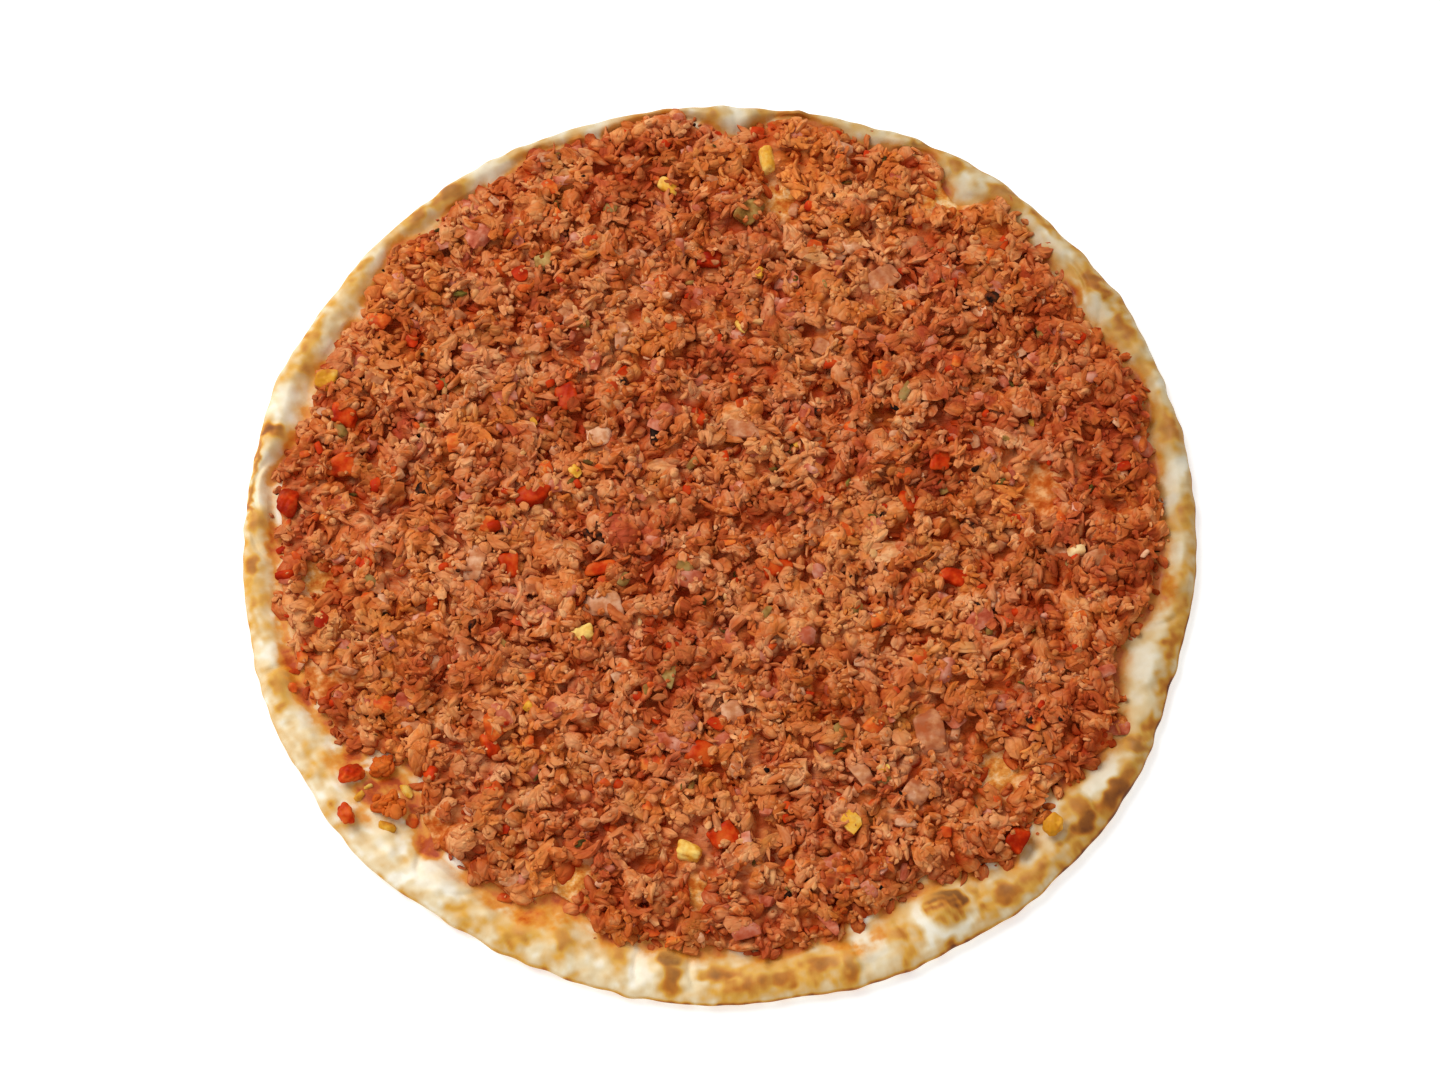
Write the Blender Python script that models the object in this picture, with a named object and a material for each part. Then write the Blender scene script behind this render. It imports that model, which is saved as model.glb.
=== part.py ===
"""Lahmacun: a thin round flatbread baked under a layer of minced meat and diced vegetables.

The bread lies on its flat underside. Its middle is a flat bed, and its rim is a raised border with baked
blisters. The mince fills the bed out to a ragged edge. Cut vegetables sit in sockets in the mince, and a few
pieces lie loose on the bare dough.

Lengths are in metres. The origin is the middle of the underside and +Z is up. Angles are in degrees, turning
anticlockwise from +X as seen from above.
"""

import math
from collections import namedtuple

import bpy
import numpy as np
from mathutils import Euler, Vector
from mathutils.bvhtree import BVHTree

MM = 0.001
GAP = 0.3 * MM  # air left between two solids that touch
AROUND = 108  # points in every ring of the bread and of the mince

# Bread
BREAD_RADIUS = 141.0 * MM
BREAD_WAVES = (  # waves round the outline: how many, how high, and where the first crest lies
    (2, 0.6 * MM, 50.0),
    (3, 0.6 * MM, 55.0),
    (4, 0.7 * MM, 39.0),
    (7, 0.4 * MM, 9.0),
    (11, 0.3 * MM, 29.0),
    (17, 0.25 * MM, 12.0),
)
BED_HEIGHT = 2.6 * MM  # rolled dough under the mince
EDGE_HEIGHT = 2.7 * MM  # the outermost point of the rim
CROWN_HEIGHT = 5.3 * MM  # the top of the rim between its blisters
CROWN_SWELL = 0.5 * MM  # how much the crown rises and falls on its way round
CROWN_AT = 0.58  # where the crown lies, as a share of the rim's width from its foot
FULL_WIDTH = 9.0 * MM  # a narrower rim is lower in proportion
UNDERCUT = 6.0 * MM  # width of the rounding between the underside and the edge
BLISTERS = (  # angle, distance from the middle, width and rise of each bubble in the rim
    (12, 136.0 * MM, 4.5 * MM, 1.3 * MM),
    (34, 135.5 * MM, 5.0 * MM, 2.2 * MM),
    (51, 138.0 * MM, 3.5 * MM, 1.3 * MM),
    (66, 138.5 * MM, 4.0 * MM, 1.2 * MM),
    (97, 139.0 * MM, 4.0 * MM, 0.9 * MM),
    (126, 137.0 * MM, 4.5 * MM, 1.3 * MM),
    (150, 135.0 * MM, 5.0 * MM, 1.2 * MM),
    (168, 136.0 * MM, 3.5 * MM, 2.0 * MM),
    (178, 136.0 * MM, 4.5 * MM, 1.5 * MM),
    (200, 134.5 * MM, 5.0 * MM, 1.3 * MM),
    (233, 131.5 * MM, 6.5 * MM, 1.9 * MM),
    (250, 132.5 * MM, 5.0 * MM, 1.2 * MM),
    (263, 130.0 * MM, 4.5 * MM, 2.2 * MM),
    (274, 133.5 * MM, 5.5 * MM, 1.4 * MM),
    (286, 132.5 * MM, 4.0 * MM, 1.6 * MM),
    (299, 130.0 * MM, 6.0 * MM, 3.6 * MM),
    (320, 132.5 * MM, 5.0 * MM, 1.8 * MM),
    (331, 135.0 * MM, 4.0 * MM, 1.2 * MM),
    (342, 132.5 * MM, 5.0 * MM, 1.5 * MM),
    (353, 135.0 * MM, 4.5 * MM, 1.6 * MM),
)

# Mince
MINCE_RADIUS = 129.5 * MM
MINCE_SHIFT = 4.0 * MM  # how far the layer is spread off centre, towards +Y
MINCE_LOBES = (  # angle, half width in degrees, and reach of each tongue, or of each bay where it is negative
    (20, 5, 3.0 * MM),
    (32, 4, -3.5 * MM),
    (50, 4, 3.5 * MM),
    (57, 3, -4.0 * MM),
    (63, 4, 6.0 * MM),
    (80, 5, 5.0 * MM),
    (88, 3, -5.0 * MM),
    (98, 5, 4.5 * MM),
    (114, 5, 3.0 * MM),
    (137, 3, 3.0 * MM),
    (149, 7, -2.5 * MM),
    (165, 3, -3.0 * MM),
    (174, 5, 3.0 * MM),
    (190, 6, 2.0 * MM),
    (201, 4, 2.5 * MM),
    (219, 6, -13.0 * MM),
    (248, 3, -6.5 * MM),
    (276, 6, 1.5 * MM),
    (297, 7, -5.0 * MM),
    (310, 4, 3.0 * MM),
    (320, 4, -3.0 * MM),
    (330, 4, 3.0 * MM),
    (342, 6, -6.5 * MM),
)
MINCE_HEIGHT = 4.2 * MM  # from the bed to the top of the layer
MINCE_EDGE = ((0.8 * MM, 0.45), (3.0 * MM, 0.78), (7.0 * MM, 1.0))  # distance in from the edge, share of height
MINCE_RINGS = 17  # rings of relief between the edge and the middle
HALVED_INSIDE = (0.56, 0.28)  # shares of the radius at which a ring has half as many points as the last
MINCE_WAVES = 28
MINCE_WAVE_LENGTHS = (15.0 * MM, 34.0 * MM)
MINCE_WAVE_HEIGHT = 0.17 * MM
THIN_SPOTS = (  # places where the layer is sparse: x, y, radius, how much lower
    (94 * MM, 14 * MM, 11 * MM, 1.5 * MM),
    (80 * MM, -74 * MM, 9 * MM, 1.5 * MM),
    (19 * MM, 108 * MM, 8 * MM, 1.2 * MM),
    (68 * MM, 108 * MM, 8 * MM, 1.2 * MM),
    (-42 * MM, -106 * MM, 8 * MM, 1.2 * MM),
    (-116 * MM, -45 * MM, 8 * MM, 1.4 * MM),
)
RELIEF_SEED = 7

# Cut vegetables. Each row is x, y, length, width and the direction of its length.
RED_PEPPER = (
    (-128, 9, 10.5, 7.0, 82),
    (-56, 10, 12.0, 7.5, -4),
    (-62, -11, 9.5, 6.5, 105),
    (-35, -12, 10.5, 4.2, 10),
    (-46, 42, 9.5, 7.5, 110),
    (-3, 87, 8.5, 5.6, -6),
    (65, 22, 8.0, 6.2, 80),
    (55, 8, 8.5, 6.8, -32),
    (68, -15, 9.5, 6.0, -22),
    (17, -12, 10.0, 6.0, 12),
    (-6, -68, 10.0, 8.2, -12),
    (1, -93, 9.0, 7.6, 35),
    (84, -94, 8.0, 6.2, 62),
    (-66, -66, 8.0, 5.4, 115),
    (-112, 36, 9.0, 7.2, -20),
    (-112, 20, 10.0, 7.6, 4),
)
LOOSE_RED_PEPPER = (
    (-105.5, -75, 8.5, 6.4, 22),
    (-106.5, -87, 7.6, 5.0, 118),
)
YELLOW_PEPPER = (
    (14, 121, 10.5, 5.2, 100),
    (-118, 47, 8.0, 7.0, 70),
    (-9, -97, 7.8, 6.6, -12),
    (-16, 111, 7.6, 4.4, -32),
    (-40, -33, 7.6, 5.4, 30),
)
LOOSE_YELLOW_PEPPER = ((94.5, -90, 7.0, 6.2, 45),)
GREEN_PEPPER = (
    (9, 103, 10.0, 7.6, 58),
    (-54, 86, 7.2, 6.2, 12),
    (-15, -44, 11.0, 4.2, 82),
)
ONION = (
    (-34, -23, 13.5, 9.0, -6),
    (-72, -11, 12.5, 6.4, 80),
    (49, 80, 11.0, 9.0, 40),
    (58, 92, 10.5, 6.0, 8),
    (8, 31, 14.0, 7.4, 0),
    (60, -62, 15.0, 9.6, 102),
    (56, -80, 9.5, 8.2, 58),
    (31, 58, 9.0, 6.0, -30),
    (-30, 62, 11.0, 5.0, 86),
    (-36, 29, 9.0, 7.4, 6),
    (41, -75, 10.5, 6.8, -58),
    (3, -56, 9.5, 7.2, 112),
)
PIECE_SIDES = 8
SQUARE, ROUND = 3.6, 2.2  # powers of the rounded outlines: crisp dice, and pieces softened by the heat
Cut = namedtuple("Cut", "kind thickness power bow colour roughness")  # bow: how far the ends hang
RED_DICE = Cut("red_pepper", 3.6 * MM, SQUARE, 0.3 * MM, 0xC63A1A, 0.3)
YELLOW_DICE = Cut("yellow_pepper", 3.6 * MM, ROUND, 0.2 * MM, 0xE3B02F, 0.35)
GREEN_STRIP = Cut("green_pepper", 2.6 * MM, SQUARE, 0.3 * MM, 0x7A6B2A, 0.4)
ONION_SLICE = Cut("onion", 2.2 * MM, ROUND, 0.5 * MM, 0xC98E6A, 0.35)
STAND_PROUD = 0.9 * MM  # how far an embedded piece rises above the mince round it
LEFT_UNDER = 1.3 * MM  # mince left between the middle of a piece and the bed, where the layer is thin
LOOSE_TILT = 8.0  # degrees
SOCKET_REACH = 8.0 * MM  # how far a socket's cutter rises past its piece

# Scraps of mince that fell beside the layer: x, y, length, width, height and direction.
SCRAPS = (
    (-94.5, -84.0, 13.0, 8.5, 3.4, -30),
    (-97.5, -72.0, 8.0, 5.0, 3.0, 35),
)


def waves_round(angle, waves):
    """Sum of cosines: each one runs a whole number of times round the circle."""
    return sum(height * math.cos(math.radians(count * (angle - crest))) for count, height, crest in waves)


def turn_between(a, b):
    """The smaller angle between two directions, in degrees."""
    return abs((a - b + 180.0) % 360.0 - 180.0)


def bread_radius(angle):
    return BREAD_RADIUS + waves_round(angle, BREAD_WAVES)


def mince_radius(angle):
    """A circle set off centre, with a bell-shaped tongue or bay for each lobe."""
    lobes = sum(
        reach * math.exp(-((turn_between(angle, at) / half) ** 2)) for at, half, reach in MINCE_LOBES
    )
    return MINCE_RADIUS + MINCE_SHIFT * math.sin(math.radians(angle)) + lobes


def rim_radius(angle, share):
    """Distance from the middle at a share of the rim's width, from its foot just clear of the mince."""
    foot = mince_radius(angle) + 2.0 * GAP
    return foot + share * (bread_radius(angle) - foot)


def smooth_step(share):
    share = min(max(share, 0.0), 1.0)
    return share * share * (3.0 - 2.0 * share)


def bell(distance, width):
    return math.exp(-((distance / width) ** 2))


def polar(radius, angle):
    return radius * math.cos(math.radians(angle)), radius * math.sin(math.radians(angle))


def crown_height(angle):
    """Height of the rim's top between blisters. A narrow rim is a low one."""
    swell = waves_round(angle, ((5, CROWN_SWELL, 20.0), (9, 0.6 * CROWN_SWELL, 7.0)))
    width = bread_radius(angle) - rim_radius(angle, 0.0)
    return BED_HEIGHT + (CROWN_HEIGHT + swell - BED_HEIGHT) * min(1.0, width / FULL_WIDTH)


def rim_height(angle, share):
    """Height of the rim at a share of its width: it climbs from its foot to the crown, and rounds off to the
    edge along a quarter of an ellipse. Blisters stand on it as bells that fade out at its foot and edge."""
    crown = crown_height(angle)
    if share < CROWN_AT:
        height = BED_HEIGHT + (crown - BED_HEIGHT) * smooth_step(share / CROWN_AT)
    else:
        past = (share - CROWN_AT) / (1.0 - CROWN_AT)
        height = EDGE_HEIGHT + (crown - EDGE_HEIGHT) * math.sqrt(max(0.0, 1.0 - past * past))
    x, y = polar(rim_radius(angle, share), angle)
    fade = min(1.0, (1.0 - share) * 4.0) * min(1.0, share * 4.0)
    for at, out, width, rise in BLISTERS:
        bx, by = polar(out, at)
        height += fade * rise * bell(math.hypot(x - bx, y - by), width)
    return height


def ring(radius_at, height_at, around=AROUND):
    """One ring of points: radius_at and height_at are functions of the angle."""
    points = []
    for step in range(around):
        angle = 360.0 * step / around
        x, y = polar(radius_at(angle), angle)
        points.append((x, y, height_at(angle)))
    return points


def band(low, low_count, high, high_count):
    """Faces between two rings that start at the points numbered low and high. The second ring has as many
    points as the first, or half as many."""
    faces = []
    if low_count == high_count:
        for step in range(low_count):
            after = (step + 1) % low_count
            faces.append((low + step, low + after, high + after, high + step))
        return faces
    for step in range(high_count):
        first, between, last = 2 * step, 2 * step + 1, (2 * step + 2) % low_count
        after = (step + 1) % high_count
        faces.append((low + first, low + between, high + step))
        faces.append((low + between, high + after, high + step))
        faces.append((low + between, low + last, high + after))
    return faces


def stacked_rings(name, rings, first_middle, last_middle):
    """A closed mesh: a fan from first_middle to the first ring, bands between the rings, and a fan to
    last_middle. Rings run anticlockwise, from the underside outwards and over the top."""
    points = [first_middle]
    starts = []
    for each in rings:
        starts.append(len(points))
        points.extend(each)
    points.append(last_middle)
    sides, last_sides = len(rings[0]), len(rings[-1])
    faces = [(0, 1 + (step + 1) % sides, 1 + step) for step in range(sides)]
    for level in range(len(rings) - 1):
        faces += band(starts[level], len(rings[level]), starts[level + 1], len(rings[level + 1]))
    for step in range(last_sides):
        faces.append((starts[-1] + step, starts[-1] + (step + 1) % last_sides, len(points) - 1))
    mesh = bpy.data.meshes.new(name)
    mesh.from_pydata(points, [], faces)
    mesh.validate()
    return mesh


def new_object(name, mesh, material, parent):
    made = bpy.data.objects.new(name, mesh)
    bpy.context.scene.collection.objects.link(made)
    made.parent = parent
    if material:
        mesh.materials.append(material)
    return made


def shade_smooth(mesh):
    mesh.shade_smooth()
    mesh.set_sharp_from_angle(angle=math.radians(50.0))


def linear(channel):
    """One sRGB channel, 0 to 1, as linear light."""
    return channel / 12.92 if channel <= 0.04045 else ((channel + 0.055) / 1.055) ** 2.4


def food_material(name, colour, roughness):
    """A Principled material. The colour is an sRGB hex number."""
    material = bpy.data.materials.new(name)
    material.use_nodes = True
    shader = material.node_tree.nodes["Principled BSDF"]
    channels = [linear(((colour >> shift) & 255) / 255.0) for shift in (16, 8, 0)]
    shader.inputs["Base Color"].default_value = (*channels, 1.0)
    shader.inputs["Roughness"].default_value = roughness
    shader.inputs["Metallic"].default_value = 0.0
    return material


def make_bread(material, parent):
    """Underside, rounded edge, raised rim and flat bed, as one body of rings."""

    def under(inset, height):
        return ring(lambda angle: bread_radius(angle) - inset, lambda angle: height)

    def over(share):
        return ring(lambda angle: rim_radius(angle, share), lambda angle: rim_height(angle, share))

    rings = [under(UNDERCUT, 0.0)]
    for turn in (30.0, 60.0):
        inset = UNDERCUT * (1.0 - math.sin(math.radians(turn)))
        rings.append(under(inset, EDGE_HEIGHT * (1.0 - math.cos(math.radians(turn)))))
    for share in (1.0, 0.93, 0.8, CROWN_AT, 0.4, 0.2, 0.0):
        rings.append(over(share))
    mesh = stacked_rings("flatbread", rings, (0.0, 0.0, 0.0), (0.0, 0.0, BED_HEIGHT))
    shade_smooth(mesh)
    return new_object("flatbread", mesh, material, parent)


def relief_waves():
    """Direction, length and phase of the waves that make the top of the mince uneven."""
    draw = np.random.default_rng(RELIEF_SEED)
    turns = draw.uniform(0.0, 2.0 * math.pi, MINCE_WAVES)
    lengths = draw.uniform(*MINCE_WAVE_LENGTHS, MINCE_WAVES)
    phases = draw.uniform(0.0, 2.0 * math.pi, MINCE_WAVES)
    return [tuple(map(float, row)) for row in zip(turns, lengths, phases)]


def mince_top(x, y, waves):
    """Height of the mince away from its edge: plane waves, less the sparse places."""
    height = BED_HEIGHT + GAP + MINCE_HEIGHT
    for turn, length, phase in waves:
        along = x * math.cos(turn) + y * math.sin(turn)
        height += MINCE_WAVE_HEIGHT * math.sin(2.0 * math.pi * along / length + phase)
    for sx, sy, radius, lower in THIN_SPOTS:
        height -= lower * bell(math.hypot(x - sx, y - sy), radius)
    return height


def make_mince(material, parent, waves):
    """The layer as one solid: a flat underside on the bed, a sloping broken edge, and an uneven top. Rings
    nearer the middle have fewer points, so that the relief is as fine everywhere."""
    floor = BED_HEIGHT + GAP

    def lifted(radius_at, share, around=AROUND):
        def height(angle):
            x, y = polar(radius_at(angle), angle)
            return floor + share * (mince_top(x, y, waves) - floor)

        return ring(radius_at, height, around)

    def inset_by(distance):
        return lambda angle: mince_radius(angle) - distance

    def drawn_in(left):
        """A ring inside the edge: its lobes fade out towards the middle, where it is a circle."""

        def radius(angle):
            rim = mince_radius(angle) - MINCE_EDGE[-1][0]
            return left * (MINCE_RADIUS + left * (rim - MINCE_RADIUS))

        return radius

    rings = [ring(mince_radius, lambda angle: floor)]
    rings += [lifted(inset_by(distance), share) for distance, share in MINCE_EDGE]
    for step in range(1, MINCE_RINGS):
        left = 1.0 - step / MINCE_RINGS
        halvings = sum(left < share for share in HALVED_INSIDE)
        rings.append(lifted(drawn_in(left), 1.0, AROUND // 2**halvings))
    middle = (0.0, 0.0, mince_top(0.0, 0.0, waves))
    mesh = stacked_rings("mince_layer", rings, (0.0, 0.0, floor), middle)
    shade_smooth(mesh)
    return new_object("mince_layer", mesh, material, parent)


def rounded_outline(length, width, power, sides):
    """Points of a superellipse: the higher its power, the squarer it is. Every second point is a corner."""
    points = []
    for step in range(sides):
        turn = 2.0 * math.pi * (step + 0.5) / sides
        c, s = math.cos(turn), math.sin(turn)
        reach = (abs(c) ** power + abs(s) ** power) ** (-1.0 / power)
        points.append((0.5 * length * reach * c, 0.5 * width * reach * s))
    return points


def cut_piece_mesh(name, cut, length, width):
    """A cut piece: a rounded slab with soft upper and lower edges, its ends hanging by the cut's bow."""
    outline = rounded_outline(length, width, cut.power, PIECE_SIDES)

    def level(share, height):
        return [
            (x * share, y * share, height - cut.bow * (2.0 * x * share / length) ** 2) for x, y in outline
        ]

    half = 0.5 * cut.thickness
    rings = [level(0.78, -half), level(1.0, -0.4 * half), level(1.0, 0.4 * half), level(0.74, half)]
    mesh = stacked_rings(name, rings, (0.0, 0.0, -half), (0.0, 0.0, 1.06 * half))
    shade_smooth(mesh)
    return mesh


def socket_cutter(piece, cut, length, width, cutters):
    """A prism round an embedded piece, open far above it, that makes its socket in the mince."""
    name = f"socket_{piece.name}"
    outline = rounded_outline(length + 2.4 * GAP, width + 2.4 * GAP, cut.power, PIECE_SIDES)
    low = -0.5 * cut.thickness - cut.bow - GAP
    rings = [[(x, y, height) for x, y in outline] for height in (low, SOCKET_REACH)]
    mesh = stacked_rings(name, rings, (0.0, 0.0, low), (0.0, 0.0, SOCKET_REACH))
    cutter = bpy.data.objects.new(name, mesh)
    cutters.objects.link(cutter)
    cutter.parent = piece
    cutter.hide_render = True
    cutter.display_type = "WIRE"


def embed(cut, rows, material, parent, waves, cutters):
    """Pieces pressed into the mince, each with its socket. Tilt and roll follow a fixed pattern."""
    for number, (x, y, length, width, turn) in enumerate(rows, start=1):
        x, y, length, width = (value * MM for value in (x, y, length, width))
        name = f"{cut.kind}_{number:02d}"
        piece = new_object(name, cut_piece_mesh(name, cut, length, width), material, parent)
        middle = mince_top(x, y, waves) + STAND_PROUD - 0.5 * cut.thickness
        lowest = BED_HEIGHT + LEFT_UNDER + 0.5 * cut.thickness + cut.bow
        piece.location = (x, y, max(middle, lowest))
        roll = 6.0 * math.sin(2.1 * number)
        tilt = 5.0 * math.cos(1.3 * number)
        piece.rotation_euler = tuple(map(math.radians, (roll, tilt, turn)))
        socket_cutter(piece, cut, length, width, cutters)


def lay_on_bread(cut, first, rows, material, parent, bread):
    """Loose pieces on the bare dough: each is turned, tilted up the slope and lowered until it just clears."""
    tree = BVHTree.FromPolygons(
        [vertex.co.copy() for vertex in bread.data.vertices],
        [tuple(face.vertices) for face in bread.data.polygons],
    )
    for number, (x, y, length, width, turn) in enumerate(rows, start=first):
        x, y, length, width = (value * MM for value in (x, y, length, width))
        name = f"{cut.kind}_{number:02d}"
        piece = new_object(name, cut_piece_mesh(name, cut, length, width), material, parent)
        outwards = math.atan2(y, x) - math.radians(turn)
        slope = math.radians(LOOSE_TILT)
        turned = Euler((slope * math.sin(outwards), -slope * math.cos(outwards), math.radians(turn)))
        piece.location = (x, y, lowest_clear(piece.data, turned, x, y, tree))
        piece.rotation_euler = turned


def lowest_clear(mesh, turned, x, y, tree):
    """Height of a piece's origin that leaves a gap between the bread and its underside."""
    matrix = turned.to_matrix()
    down = Vector((0.0, 0.0, -1.0))
    places = [vertex.co for vertex in mesh.vertices]
    places += [face.center for face in mesh.polygons if face.normal.z < 0.0]
    needed = -1.0
    for place in places:
        point = matrix @ place
        hit = tree.ray_cast(Vector((x + point.x, y + point.y, 1.0)), down)[0]
        if hit:
            needed = max(needed, hit.z - point.z)
    return needed + 1.5 * GAP


def make_scraps(material, parent, bread):
    """Small heaps of mince on the bare dough."""
    for number, (x, y, length, width, height, turn) in enumerate(SCRAPS, start=1):
        scrap = Cut("mince_scrap", height * MM, ROUND, 0.0, None, None)
        lay_on_bread(scrap, number, ((x, y, length, width, turn),), material, parent, bread)


def clear_scene():
    for existing in list(bpy.data.objects):
        bpy.data.objects.remove(existing)


def new_collection(name):
    made = bpy.data.collections.new(name)
    bpy.context.scene.collection.children.link(made)
    return made


def main():
    clear_scene()
    whole = bpy.data.objects.new("lahmacun", None)
    bpy.context.scene.collection.objects.link(whole)
    dough = food_material("baked_dough", 0xE6D3AC, 0.7)
    meat = food_material("minced_meat", 0xA8562E, 0.55)

    bread = make_bread(dough, whole)
    waves = relief_waves()
    mince = make_mince(meat, whole, waves)
    cutters = new_collection("sockets")
    for cut, embedded, loose in (
        (RED_DICE, RED_PEPPER, LOOSE_RED_PEPPER),
        (YELLOW_DICE, YELLOW_PEPPER, LOOSE_YELLOW_PEPPER),
        (GREEN_STRIP, GREEN_PEPPER, ()),
        (ONION_SLICE, ONION, ()),
    ):
        material = food_material(cut.kind, cut.colour, cut.roughness)
        embed(cut, embedded, material, whole, waves, cutters)
        lay_on_bread(cut, len(embedded) + 1, loose, material, whole, bread)
    carve = mince.modifiers.new("sockets", "BOOLEAN")
    carve.operand_type = "COLLECTION"
    carve.collection = cutters
    carve.operation = "DIFFERENCE"
    make_scraps(meat, whole, bread)


main()
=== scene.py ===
"""Looks of a lahmacun: browned flatbread, crumbled mince, cut vegetables and a plain stage.

Laid out as an add-on and run as a script. Lengths are in metres, with +Z up and the middle of the bread's
underside at the origin. Angles in tables are in degrees, anticlockwise from +X as seen from above.
"""

import collections
import math

import bmesh
import bpy
import numpy as np
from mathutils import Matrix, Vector


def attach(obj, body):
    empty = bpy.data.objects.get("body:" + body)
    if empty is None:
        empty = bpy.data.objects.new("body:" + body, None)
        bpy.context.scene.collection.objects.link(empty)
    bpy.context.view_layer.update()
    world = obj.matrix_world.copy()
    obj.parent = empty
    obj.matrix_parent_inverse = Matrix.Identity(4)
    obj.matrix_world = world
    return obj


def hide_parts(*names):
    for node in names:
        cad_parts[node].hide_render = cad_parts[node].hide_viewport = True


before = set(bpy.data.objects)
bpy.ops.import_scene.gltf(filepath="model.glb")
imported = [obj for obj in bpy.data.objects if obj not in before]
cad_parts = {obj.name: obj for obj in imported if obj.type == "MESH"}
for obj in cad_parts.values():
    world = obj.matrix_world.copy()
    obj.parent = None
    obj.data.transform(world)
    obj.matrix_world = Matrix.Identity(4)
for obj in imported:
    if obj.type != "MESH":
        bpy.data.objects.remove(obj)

bl_info = {
    "name": "Lahmacun looks",
    "version": (1, 0, 0),
    "blender": (4, 5, 0),
    "location": "View3D > Sidebar > Lahmacun",
    "description": "Dresses a lahmacun's solids as browned bread, crumbled mince and cut vegetables",
    "category": "Object",
}

MM = 0.001
FULL_TURN = 2.0 * math.pi
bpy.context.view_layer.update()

# The bread's profile, as the solid has it
BED_HEIGHT = 2.6 * MM
EDGE_HEIGHT = 2.7 * MM
CROWN_HEIGHT = 5.3 * MM
CROWN_SWELL = 0.5 * MM
CROWN_AT = 0.58
FULL_WIDTH = 9.0 * MM
UNDERCUT = 6.0 * MM
GAP = 0.3 * MM
BLISTERS = (  # angle, distance from the middle, width and rise in mm
    (12, 136.0, 4.5, 1.3),
    (34, 135.5, 5.0, 2.2),
    (51, 138.0, 3.5, 1.3),
    (66, 138.5, 4.0, 1.2),
    (97, 139.0, 4.0, 0.9),
    (126, 137.0, 4.5, 1.3),
    (150, 135.0, 5.0, 1.2),
    (168, 136.0, 3.5, 2.0),
    (178, 136.0, 4.5, 1.5),
    (200, 134.5, 5.0, 1.3),
    (233, 131.5, 6.5, 1.9),
    (250, 132.5, 5.0, 1.2),
    (263, 130.0, 4.5, 2.2),
    (274, 133.5, 5.5, 1.4),
    (286, 132.5, 4.0, 1.6),
    (299, 130.0, 6.0, 3.6),
    (320, 132.5, 5.0, 1.8),
    (331, 135.0, 4.0, 1.2),
    (342, 132.5, 5.0, 1.5),
    (353, 135.0, 4.5, 1.6),
)
BROWNINGS = (  # angle, distance from the middle, half length along the rim, half width across it, strength
    (1.5, 136.5, 3.0, 2.0, 0.35),
    (14, 137.0, 4.0, 1.8, 0.75),
    (22, 137.5, 2.5, 1.2, 0.45),
    (28, 137.5, 3.6, 1.6, 0.75),
    (35, 137.8, 4.6, 1.3, 0.85),
    (37, 135.5, 5.5, 0.8, 0.55),
    (45.5, 140.0, 3.5, 1.0, 0.7),
    (51.5, 139.6, 3.6, 1.4, 0.85),
    (59, 139.8, 2.4, 1.6, 0.75),
    (64, 140.8, 3.4, 1.2, 1.0),
    (72, 139.0, 4.0, 1.3, 0.2),
    (79.5, 140.4, 2.8, 1.1, 1.0),
    (84.5, 139.0, 3.0, 1.2, 0.3),
    (91, 138.2, 3.0, 1.4, 0.25),
    (97, 140.0, 1.4, 0.9, 1.0),
    (108, 138.0, 2.6, 1.2, 0.2),
    (115, 137.5, 4.0, 1.5, 0.25),
    (127, 137.6, 4.4, 1.7, 0.85),
    (132, 138.0, 2.8, 1.2, 0.75),
    (141.5, 138.4, 2.2, 1.1, 0.7),
    (147, 136.0, 2.4, 2.4, 0.35),
    (153, 137.6, 4.4, 1.3, 0.6),
    (157.5, 134.0, 1.6, 4.0, 0.5),
    (166.6, 137.0, 1.6, 2.3, 1.0),
    (171, 139.2, 4.0, 0.6, 0.9),
    (176, 139.4, 4.0, 0.6, 0.9),
    (178.6, 136.4, 2.4, 2.0, 0.75),
    (184.5, 137.8, 2.2, 1.1, 0.85),
    (189, 138.6, 5.0, 0.9, 0.35),
    (199.5, 132.6, 3.4, 2.2, 0.8),
    (201, 136.8, 3.2, 1.6, 0.5),
    (208, 137.0, 4.5, 1.4, 0.3),
    (222, 138.2, 6.0, 1.4, 0.25),
    (238, 136.0, 5.0, 2.0, 0.25),
    (244, 133.5, 4.4, 2.2, 0.4),
    (250, 130.6, 2.2, 1.6, 0.8),
    (257.4, 129.8, 1.5, 1.8, 0.7),
    (263.4, 128.8, 2.6, 2.2, 1.15),
    (264, 134.5, 1.8, 3.0, 0.85),
    (269.5, 132.4, 4.0, 1.5, 0.85),
    (273.6, 136.4, 4.4, 1.8, 0.6),
    (277.4, 135.0, 2.6, 1.8, 0.8),
    (282.4, 132.0, 3.6, 1.8, 0.85),
    (285.6, 135.0, 1.5, 3.6, 0.8),
    (292.2, 131.4, 2.0, 1.4, 0.55),
    (306.6, 136.2, 2.4, 1.8, 0.8),
    (311, 136.4, 4.0, 1.5, 0.45),
    (319.4, 136.6, 2.4, 2.4, 1.15),
    (320.6, 131.4, 1.9, 2.6, 0.75),
    (324.8, 138.2, 5.0, 2.0, 0.95),
    (331.2, 136.0, 1.4, 2.4, 0.85),
    (334.4, 137.2, 2.6, 1.0, 0.75),
    (340, 136.6, 2.0, 1.2, 0.6),
    (345.4, 136.2, 3.2, 1.4, 0.7),
    (349, 135.8, 3.4, 1.6, 0.35),
    (352.2, 131.2, 1.6, 1.2, 1.0),
    (356, 137.0, 3.0, 1.2, 0.35),
)
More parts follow.
